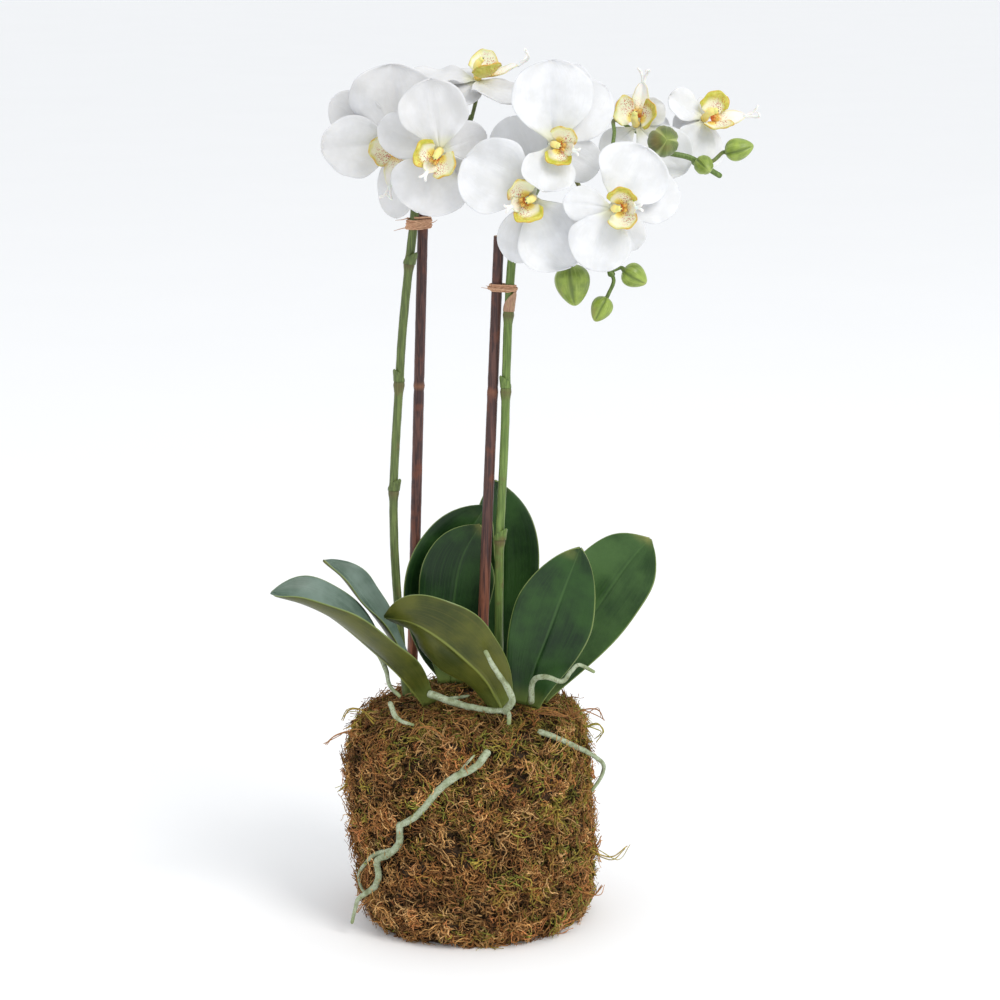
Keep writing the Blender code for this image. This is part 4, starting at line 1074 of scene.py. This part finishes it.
def flower_frame(table):
    """Right, up and facing directions of a flower."""
    turn, tilt = math.radians(table["turn"]), math.radians(table["tilt"])
    facing = np.array([math.sin(turn) * math.cos(tilt), -math.cos(turn) * math.cos(tilt), math.sin(tilt)])
    right = np.array([math.cos(turn), math.sin(turn), 0.0])
    return right, np.cross(facing, right), facing


def shoot_route(name, route):
    """The route of a stalk, led round to arrive square behind what it carries."""
    if name in FLOWERS:
        facing = flower_frame(FLOWERS[name])[2]
        centre = from_crown([FLOWERS[name]["centre"]])[0]
        reach, lead = 1.5 * TEPAL_THICKNESS + 2 * CLEARANCE + 0.25 * PEDICEL_RADIUS, STALK_LEAD
    else:
        facing = unit(BUDS[name]["points"])
        centre = from_crown([BUDS[name]["centre"]])[0]
        reach, lead = BUDS[name]["size"][0] * MM / 2 - 0.0006, STALK_LEAD / 3
    end = centre - facing * reach
    return np.vstack([from_crown(route), end - facing * lead, end])


def add_bract(shape, place, up, out, radius, length, spread, slot):
    """A thin pointed sheath that wraps part of the way round a stem and stands off at its tip."""
    rows, columns = 14, 13
    up = unit(up)
    out = unit(out - up * np.dot(out, up))
    across = np.cross(up, out)
    t = np.linspace(0, 1, rows)[:, None, None]
    v = np.linspace(-1, 1, columns)[None, :, None]
    turn = v * math.radians(BRACT_WRAP) * np.maximum(1 - t**1.6, 0.03)
    reach = radius * (1.06 + spread * t**1.5)
    grid = place + up * length * t + reach * (np.cos(turn) * out + np.sin(turn) * across)
    add_slab(shape, grid, 0.0005, 0.0002, slot)


def make_stem(name, table, look, bract):
    path = smooth_path(stem_path(table), STEM_STEPS)
    radius, node = stem_radius(path, table)
    shape = Shape()
    add_tube(shape, path, radius, 20, rough=0.05, grain=180, seed=4, node=node * 0.7)
    for index, level in enumerate(table["node_levels"]):
        spot = int(np.argmax(path[:, 2] > BALL_HEIGHT + level * MM))
        out = np.array([(-1.0) ** index * 0.75, -0.65, 0.0])
        dry = name == "flower_stem_right" and index == 2
        length, slot = (0.013, 1) if dry else (0.008, 0)
        add_bract(shape, path[spot], path[spot + 1] - path[spot], out, radius[spot], length, 0.35, slot)
    for carried, route in table["shoots"]:
        points = smooth_path(shoot_route(carried, route), STALK_STEPS)
        t = np.linspace(0, 1, len(points))
        thick = PEDICEL_RADIUS * (1 + 0.45 * bell(t, 0.08) + 0.35 * bell(1 - t, 0.1))
        add_tube(shape, points, thick, 14, rough=0.06, grain=300, seed=6, node=0.15 * t)
        along, out = points[2] - points[0], np.array([0.3, -0.8, -0.4])
        add_bract(shape, points[0], along, out, PEDICEL_RADIUS * 1.3, 0.0045, 0.9, 0)
    piece(shape, name + "_skin", [look, bract], "stem", name)


def belt_point(turn, centres, radii):
    """A point at this angle on a loop pulled tight round two circles."""
    direction = np.array([math.cos(turn), math.sin(turn)])
    reach = [np.dot(centre, direction) + radius for centre, radius in zip(centres, radii)]
    blend = float(np.clip((reach[1] - reach[0]) / 0.0012 * 0.5 + 0.5, 0, 1))
    near = centres[0] + direction * radii[0]
    far = centres[1] + direction * radii[1]
    return near * (1 - blend) + far * blend


def make_tie(name, table, look):
    half_height, last = table["half_height"], TIE_STEPS - 1
    foot, head = stake_ends(STAKES[table["stake"]])
    stem = smooth_path(stem_path(STEMS[table["stem"]]), STEM_STEPS)[:STEM_STEPS_BELOW_ARCH]
    rng = np.random.default_rng(11 + len(name))
    shape = Shape()
    for index in range(table["strands"]):
        level = BALL_HEIGHT + (table["level"] + rng.uniform(-half_height, half_height)) * MM
        start, turns = rng.uniform(0, 2 * math.pi), rng.uniform(0.8, 1.6)
        gap = rng.uniform(0.0004, 0.0021)
        drift = rng.normal(0, 0.0016)
        points = []
        for step in range(TIE_STEPS):
            turn = start + 2 * math.pi * turns * step / last
            height = level + drift * (step / last - 0.5) + 0.0004 * math.sin(turn * 2 + index)
            stake_centre = (foot + (head - foot) * (height - foot[2]) / (head[2] - foot[2]))[:2]
            stem_centre = np.array([np.interp(height, stem[:, 2], stem[:, axis]) for axis in (0, 1)])
            radii = (STAKE_RADIUS + gap, STEM_RADIUS + gap)
            points.append([*belt_point(turn, (stake_centre, stem_centre), radii), height])
        path = np.array(points)
        add_tube(shape, path, rng.uniform(0.00035, 0.0006), 6, rough=0.2, grain=900, seed=index % 7)
        if index < table["loose"]:
            away = unit(np.array([*(path[-1, :2] - stem_centre), rng.uniform(-0.004, 0.003)]))
            end = [path[-1], path[-1] + away * 0.0035, path[-1] + away * 0.007 + rng.normal(0, 0.0014, 3)]
            add_tube(shape, smooth_path(end, 10), np.linspace(0.0004, 0.00012, 10), 5)
    piece(shape, name + "_raffia", [look], "raffia", name)


# ---------------------------------------------------------------- leaves


def rounded_end(share):
    return np.maximum(0.0, 1 - np.clip(share, 0, 1) ** 2.2) ** (1 / 1.9)


def pointed_end(share):
    return np.maximum(0.0, 1 - np.clip(share, 0, 1) ** 1.9) ** (1 / 1.35)


def eased_shares(count):
    """Shares from 0 to 1 that close up towards 1, where an outline turns fastest."""
    return np.sin(np.pi / 2 * np.arange(count) / (count - 1)) ** 0.9


def make_leaf(name, table, look):
    rows, columns = 90, 41
    midline = from_crown(table["midline"])
    midline[0, 2] += ball_top(midline[0, 0], midline[0, 1]) - BALL_HEIGHT + LEAF_SEAT
    share = eased_shares(rows)
    fine = smooth_path(midline, 801)
    path = fine[np.round(share * 800).astype(int)]
    first, last = (np.asarray(facing, float) for facing in table["facing"])
    facing = first * (1 - share[:, None]) + last * share[:, None]
    tangent = unit(np.gradient(path, axis=0))
    side = unit(np.cross(tangent, facing))
    normal = np.cross(side, tangent)
    opening = np.sin(np.pi / 2 * np.clip(share / LEAF_WIDEST_AT, 0, 1)) ** 1.3
    rising = LEAF_BASE_SHARE + (1 - LEAF_BASE_SHARE) * opening
    closing = np.maximum(0.02, pointed_end((share - LEAF_WIDEST_AT) / (1 - LEAF_WIDEST_AT)))
    outline = np.where(share < LEAF_WIDEST_AT, rising, closing)
    half = (table["width"] * MM / 2 * outline)[:, None, None]
    v = np.linspace(-1, 1, columns)[None, :, None]
    side, normal = side[:, None], normal[:, None]
    u = share[:, None, None]
    seed = sum(name.encode()) % 17
    wave = 0.0009 * np.sin(2 * np.pi * (1.6 * u + 0.13 * seed)) * np.abs(v) ** 3 * np.sign(v)
    wave = wave + 0.0006 * np.sin(2 * np.pi * (3.3 * u + 0.29 * seed)) * v**4
    groove = -0.0011 * bell(v, 0.06) * (1 - u**3)
    lift = table["channel"] * 2 * half * v * v + wave + groove
    half = half * (1 + 0.012 * np.sin(2 * np.pi * (2.1 * u + 0.2 * seed)))
    grid = path[:, None] + side * half * v + normal * lift
    shape = Shape()
    add_slab(shape, grid, LEAF_THICKNESS, 0.0005, across=v[..., 0], along=u[..., 0] + 0 * v[..., 0])
    piece(shape, name + "_blade", [look], "leaf", name)


# ---------------------------------------------------------------- flowers


def lobe_grid(lobe, shape, rows, columns, seed, ruffle=1.0, base_half=0.0021):
    """Points of one lobe in the flower's own plane, which faces +Z, with its shares along and across."""
    angle, length, width, rise, rise_at_tip = lobe
    outward = np.array([math.cos(math.radians(angle)), math.sin(math.radians(angle)), 0.0])
    side = np.array([outward[1], -outward[0], 0.0])
    facing = np.array([0.0, 0.0, 1.0])
    share = eased_shares(rows)
    middles = (share[1:] + share[:-1]) / 2
    slope = np.radians(rise + (rise_at_tip - rise) * middles)[:, None]
    steps = (outward * np.cos(slope) + facing * np.sin(slope)) * (np.diff(share) * length * MM)[:, None]
    spine = outward * FLOWER_HUB_RADIUS * 0.35 + np.vstack([[0, 0, 0], np.cumsum(steps, axis=0)])
    spine = spine + outward * FLOWER_HUB_RADIUS * 0.65 * np.clip(share / 0.1, 0, 1)[:, None]
    slopes = np.radians(rise + (rise_at_tip - rise) * share)[:, None]
    normal = facing * np.cos(slopes) - outward * np.sin(slopes)
    widest = shape["widest_at"]
    opening = np.sin(np.pi / 2 * np.clip(share / widest, 0, 1)) ** 0.8
    closing = np.maximum(0.03, rounded_end((share - widest) / (1 - widest)))
    half = width * MM / 2 * np.where(share < widest, opening, closing)
    half = np.maximum(half, base_half * (1 - share))[:, None, None]
    v = np.linspace(-1, 1, columns)[None, :, None]
    u = share[:, None, None]
    rng = np.random.default_rng(seed)
    phase = rng.uniform(0, 2 * math.pi, 6)
    round_about = np.arctan2(v * half, (u - 0.45) * length * MM)
    edge = np.clip(np.maximum(np.abs(v), u**2.5), 0, 1) ** 3 * np.clip(u / 0.25, 0, 1)
    size = width * MM * ruffle
    wave = 0.040 * np.sin(3 * round_about + phase[0]) + 0.024 * np.sin(5 * round_about + phase[1])
    wave = (wave + 0.010 * np.sin(9 * round_about + phase[2])) * size * edge
    fold = 0.020 * np.sin(2 * np.pi * 0.9 * v + phase[3]) * size * np.sin(np.pi * u) * ruffle
    fold = fold + 0.016 * np.sin(2 * np.pi * 0.8 * u + phase[4] + 1.4 * v) * size * (1 - np.abs(v) ** 3)
    hollow = np.clip(np.hypot(v, 1.7 * (u - 0.52)), 0, 1.1) ** 2
    fold = fold + 0.055 * size * ruffle * (hollow - 0.45) * np.clip(u / 0.3, 0, 1)
    crease = -0.028 * width * MM * bell(v, 0.10) * np.clip(1 - u, 0, 1) * np.clip(u / 0.1, 0, 1)
    recurve = -0.30 * half * np.clip(np.abs(v) - 0.62, 0, 1) ** 2 * np.clip(u / 0.3, 0, 1) * ruffle
    tip_back = -0.10 * length * MM * np.clip(u - 0.72, 0, 1) ** 2 * ruffle
    lift = shape["cup"] * half * v * v + wave + fold + crease + recurve + tip_back
    wander = 0.022 * np.sin(4 * round_about + phase[5]) + 0.012 * np.sin(7 * round_about + phase[3])
    wander = 1 + wander * ruffle
    grid = spine[:, None] + side * half * v * wander + normal[:, None] * lift
    return grid, *np.broadcast_arrays(u[..., 0], v[..., 0])


def placed(points, table, depth):
    """Points in a flower's own frame moved to where it is."""
    right, up, facing = flower_frame(table)
    centre = from_crown([table["centre"]])[0] + facing * depth
    return centre + points @ np.array([right, up, facing])


def make_tepals(name, table, look):
    back = -(TEPAL_THICKNESS + CLEARANCE)
    number = sum(name.encode())
    sepals = ("sepals", SEPAL_SHAPE, back, 0.55, 46, 33)
    petals = ("petals", PETAL_SHAPE, 0.0, 1.0, 54, 45)
    for kind, form, depth, ruffle, rows, columns in (sepals, petals):
        shape = Shape()
        for index, lobe in enumerate(table[kind]):
            seed = number * 7 + index * 3 + len(kind)
            grid, along, across = lobe_grid(lobe, form, rows, columns, seed, ruffle)
            grid = placed(grid, table, depth)
            add_slab(shape, grid, TEPAL_THICKNESS, 0.00028, along=along, across=across)
        centre = placed(np.array([[0.0, 0.0, -0.0006]]), table, depth)[0]
        add_egg(shape, centre, flower_frame(table)[2], 0.0022, 0.0056, along=0.05)
        piece(shape, f"{name}_{kind}_soft", [look], "petal", f"{name}_{kind}")


def spun(points, spin, size):
    cos, sin = math.cos(spin), math.sin(spin)
    turned = np.array([[cos, sin, 0], [-sin, cos, 0], [0, 0, 1]])
    return (np.asarray(points, float) * size) @ turned


# Side lobes of the lip: the middle angle, the angle to each side, the run up the bowl in millimetres and
# which way the middle lobe lies.
BOWL_LOBES = ((192, 58, 17.5, 1), (348, 58, 17.5, -1))


def bowl_lobe(angle, half_span, length, toward, seed):
    """A side lobe as part of the wall of a bowl round the column, with its shares along and across."""
    rows, columns = 34, 45
    rng = np.random.default_rng(seed)
    phase = rng.uniform(0, 2 * math.pi, 4)
    u = eased_shares(rows)[:, None]
    v = np.linspace(-1, 1, columns)[None, :] * toward
    reach = length * (1 - 0.42 * np.abs(v) ** 2.2) * (1 + 0.16 * v)
    run = u * reach * (1 + 0.05 * np.sin(4 * v + phase[0]))
    low, high = math.radians(22), math.radians(84)
    slope = low + (high - low) * np.clip(run / length, 0, 1)
    bend = (high - low) / length
    radius = 2.6 + (np.sin(slope) - math.sin(low)) / bend
    height = (math.cos(low) - np.cos(slope)) / bend
    ruffle = u**3 * (0.55 * np.sin(5.5 * v + phase[1]) + 0.3 * np.sin(11 * v + phase[2]))
    flare = 1.1 * np.clip(u - 0.75, 0, 1) ** 2 / 0.0625
    radius = radius + ruffle + flare
    spread = 0.45 + 0.55 * np.clip(u / 0.5, 0, 1)
    turn = math.radians(angle) + np.radians(half_span) * np.linspace(-1, 1, columns)[None] * spread
    grid = np.stack([radius * np.cos(turn), radius * np.sin(turn), height + 0 * turn], -1) * MM
    return grid[:, ::-1], *np.broadcast_arrays(u, v[:, ::-1])


def make_lip(name, table, looks):
    """The lip's two side lobes, middle lobe and tendrils, with the column over them."""
    angle, size = table["lip"]
    spin = math.radians(angle + 90)
    depth = (TEPAL_THICKNESS + LIP_SHEET_THICKNESS) / 2 + LIP_LIFT
    number = sum(name.encode())
    shape = Shape()

    def put(points):
        return placed(spun(points, spin, size), table, depth)

    for index, lobe in enumerate(BOWL_LOBES):
        grid, along, across = bowl_lobe(*lobe, number + index)
        grid = grid - np.array([0.0, 0.6 * LIP_DROP, 0.0])
        values = {"along": along, "across": across, "lime": 0.28 if (index + number) % 2 else 0.0}
        add_slab(shape, put(grid), LIP_SHEET_THICKNESS * 0.75, 0.0003, 0, **values)
    tongue = RAISED_TONGUE if name in RAISED_TONGUE_FLOWERS else LOWERED_TONGUE
    grid, along, across = lobe_grid(tongue, LIP_SHAPE, 36, 19, number + 5, 1.1, 0.0032)
    narrow = 0.92 - 0.3 * np.clip(along - 0.5, 0, 1)[..., None]
    grid = np.concatenate([grid[..., :1] * narrow, grid[..., 1:]], -1) - np.array([0.0, LIP_DROP, 0.0])
    add_slab(shape, put(grid), LIP_SHEET_THICKNESS * 0.8, 0.0003, 1, along=along, across=across)
    column = smooth_path(np.array(COLUMN_ROUTE) * MM, COLUMN_STEPS)
    stations = np.linspace(0, 1, COLUMN_STEPS), np.linspace(0, 1, len(COLUMN_RADII))
    radii = np.interp(*stations, COLUMN_RADII)
    add_tube(shape, put(column), radii * size, 20, 2, rough=0.05, grain=350)
    tip, above = put(np.array([[0, -1.7, 11.0], [0, -0.4, 9.2]]) * MM)
    add_egg(shape, tip, tip - above, 0.0042 * size, 0.0040 * size, 2, share=0.95)
    start = grid[-4, 9]
    reach = 0.62 if tongue is RAISED_TONGUE else 1.0
    for sign in (-1, 1):
        eye, below = put(np.array([[0.8 * sign, -2.75, 12.35], [0.75 * sign, -2.1, 11.4]]) * MM)
        add_egg(shape, eye, eye - below, 0.0009, 0.0011, 3, 12, 7)
        knob, under = put(np.array([[1.7 * sign, -6.4, 4.6], [1.7 * sign, -6.0, 3.0]]) * MM)
        add_egg(shape, knob, knob - under, 0.0034 * size, 0.0026 * size, 1, 14, 9, along=0.12, across=0.0)
        route = start + np.array(TENDRIL_ROUTE) * MM * (sign * reach, reach, reach)
        route = put(smooth_path(route, TENDRIL_STEPS))
        thick = np.linspace(0.0011, 0.0004, TENDRIL_STEPS) * size
        add_tube(shape, route, thick, 10, 1, along=0.95, across=0.0)
    piece(shape, f"{name}_lip_folds", looks, "lip", f"{name}_lip")


# ---------------------------------------------------------------- buds and aerial roots


def make_bud(name, table, look):
    """A pointed bud with three furrows between its folded sepals."""
    rows, columns = 56, 72
    length, width = (size * MM for size in table["size"])
    level = -np.cos(np.linspace(0.08, math.pi - 0.06, rows))[:, None]
    angle = 2 * np.pi * np.arange(columns)[None] / columns
    ring = np.sqrt(1 - level**2)
    turn = np.array(Vector(table["points"]).to_track_quat("Z", "Y").to_matrix())
    front = turn.T @ np.array([0.0, -1.0, 0.0])
    off_front = angle - math.atan2(front[1], front[0]) - 0.12
    furrow = bell(np.abs(np.angle(np.exp(3j * off_front))), 0.42)
    ridge = 0.012 * np.cos(12 * angle) + 0.008 * np.cos(21 * angle)
    plump = ring * (1 - 0.22 * level) * (1 - 2.2 * BUD_GROOVE * furrow + ridge)
    x, y = plump * np.cos(angle) * (width / 2), plump * np.sin(angle) * (width / 2)
    z = (level + 0.10 * np.maximum(0, level) ** 6 + 0 * angle) * length / 2
    points = np.stack([x, y, z], -1) @ turn.T + from_crown([table["centre"]])[0]
    shape = Shape()
    groove = (furrow + 0 * level).ravel() * 0.8
    around = np.abs(np.angle(np.exp(1j * angle)) / math.pi + 0 * level).ravel()
    level = np.repeat(level.ravel(), columns)
    shape.add(points, ringed_faces(rows, columns), groove=groove, around=around, level=level)
    piece(shape, name + "_sepals", [look], "bud", name)


def make_aerial_root(name, table, look):
    kind, stand_off = table["kind"], ROOT_RADIUS + MOSS_CLEARANCE
    shape = Shape()
    for index, (route, share) in enumerate(zip(table["routes"], table["thickness"])):
        if kind == "free":
            points = from_crown(route)
        else:
            places = [ball_side(angle, level, stand_off + out * MM) for angle, level, out in route]
            points = np.array(places)
        path = smooth_path(points, 26 * len(route))
        path = path + 0.0004 * np.stack([lumpy(path, 130, seed) for seed in (3, 7, 9)], -1)
        path[:, 2] = np.maximum(path[:, 2], 0.003)
        end = ROOT_TIP_SHARE if share < 0.9 or kind == "free" else 0.85
        taper = np.linspace(1, end, len(path))
        tip = np.linspace(0, 1, len(path)) if end < 0.8 else np.zeros(len(path))
        add_tube(shape, path, ROOT_RADIUS * share * taper, 18, rough=0.16, grain=210, seed=index, tip=tip)
    piece(shape, name + "_bark", [look], "aerial_root", name)


# ---------------------------------------------------------------- assembly


def make_floor():
    shape = Shape()
    corners = [(-30, -30, 0), (30, -30, 0), (30, 30, 0), (-30, 30, 0)]
    shape.add(corners, [np.array([[0, 1, 2, 3]])])
    mesh = shape.mesh("floor")
    look = Look("floor", Specular_IOR_Level=0.2)
    look.colour = look.mix(look.noise(3.0, 2), (0.965, 0.965, 0.97, 1), (0.985, 0.985, 0.99, 1))
    mesh.materials.append(look.finish(0.8))
    new_object("floor", mesh)


def aim(obj, place, direction):
    obj.location = place
    obj.rotation_euler = direction.to_track_quat("-Z", "Y").to_euler()


def make_studio():
    scene = bpy.context.scene
    world = bpy.data.worlds.new("studio")
    world.use_nodes = True
    background = world.node_tree.nodes["Background"]
    background.inputs["Color"].default_value = SKY
    background.inputs["Strength"].default_value = SKY_STRENGTH
    scene.world = world
    scene.view_settings.view_transform = "Standard"
    for name, (place, size, watts, colour) in LAMPS.items():
        data = bpy.data.lights.new(name, "AREA")
        data.shape = "DISK"
        data.size = size
        data.energy = watts
        data.color = colour
        aim(new_object(name, data), place, Vector(LAMP_TARGET) - Vector(place))


def make_camera():
    data = bpy.data.cameras.new("camera")
    data.lens = CAMERA_LENS
    data.sensor_width = 36
    data.clip_start = 0.05
    data.clip_end = 100
    camera = new_object("camera", data)
    tilt = math.radians(CAMERA_TILT)
    back = Vector((0.0, -math.cos(tilt), math.sin(tilt)))
    aim(camera, Vector(CAMERA_TARGET) + back * CAMERA_DISTANCE, -back)
    bpy.context.scene.camera = camera


def make_plant():
    make_moss_core()
    make_moss_strands()
    make_loose_strands()
    cane, bract, raffia, root = cane_look(), bract_look(), raffia_look(), root_look()
    stem_looks = {
        "flower_stem_left": stem_look("stem_left", (72, 86, 42), (104, 120, 62)),
        "flower_stem_right": stem_look("stem_right", (82, 106, 44), (114, 137, 66)),
    }
    leaf = leaf_look("leaf", (17, 43, 16), (43, 77, 29))
    sunlit = leaf_look("leaf_sunlit", (36, 66, 26), (66, 98, 48))
    # A copy of the leaf whose upper side is a paler bluish grey: painted sheen that stands in for light
    # reflected off these leaves.
    painted_sheen_leaf = leaf_look("leaf_painted_sheen", (72, 93, 78), (114, 133, 122))
    leaf_looks = dict.fromkeys(("leaf_left", "leaf_back_left_narrow", "leaf_front"), painted_sheen_leaf)
    leaf_looks["leaf_right"] = sunlit
    # Two copies of the same white: the darker one is painted shade for the tepals of the left spray, and
    # the lighter one is painted light for the others.
    painted_shade_tepal = tepal_look("tepal_painted_shade", (204, 204, 205), (214, 214, 216))
    bright = tepal_look("tepal_painted_light", (210, 211, 213), (221, 222, 225))
    lips = [lip_side_look(), lip_middle_look(), column_look(), eye_look()]
    green = bud_look("bud", (112, 134, 44), (146, 168, 66), (178, 196, 104), (84, 104, 36))
    dark = bud_look("bud_dark", (74, 90, 32), (104, 122, 44), (140, 154, 72), (180, 192, 110))
    for name, table in STAKES.items():
        make_stake(name, table, cane)
    for name, table in STEMS.items():
        make_stem(name, table, stem_looks[name], bract)
    for name, table in TIES.items():
        make_tie(name, table, raffia)
    for name, table in LEAVES.items():
        make_leaf(name, table, leaf_looks.get(name, leaf))
    for name, table in FLOWERS.items():
        make_tepals(name, table, painted_shade_tepal if name in LEFT_SPRAY else bright)
        make_lip(name, table, lips)
    for name, table in BUDS.items():
        make_bud(name, table, dark if name == "bud_d" else green)
    for name, table in AERIAL_ROOTS.items():
        make_aerial_root(name, table, root)


make_plant()
make_floor()
make_studio()
make_camera()
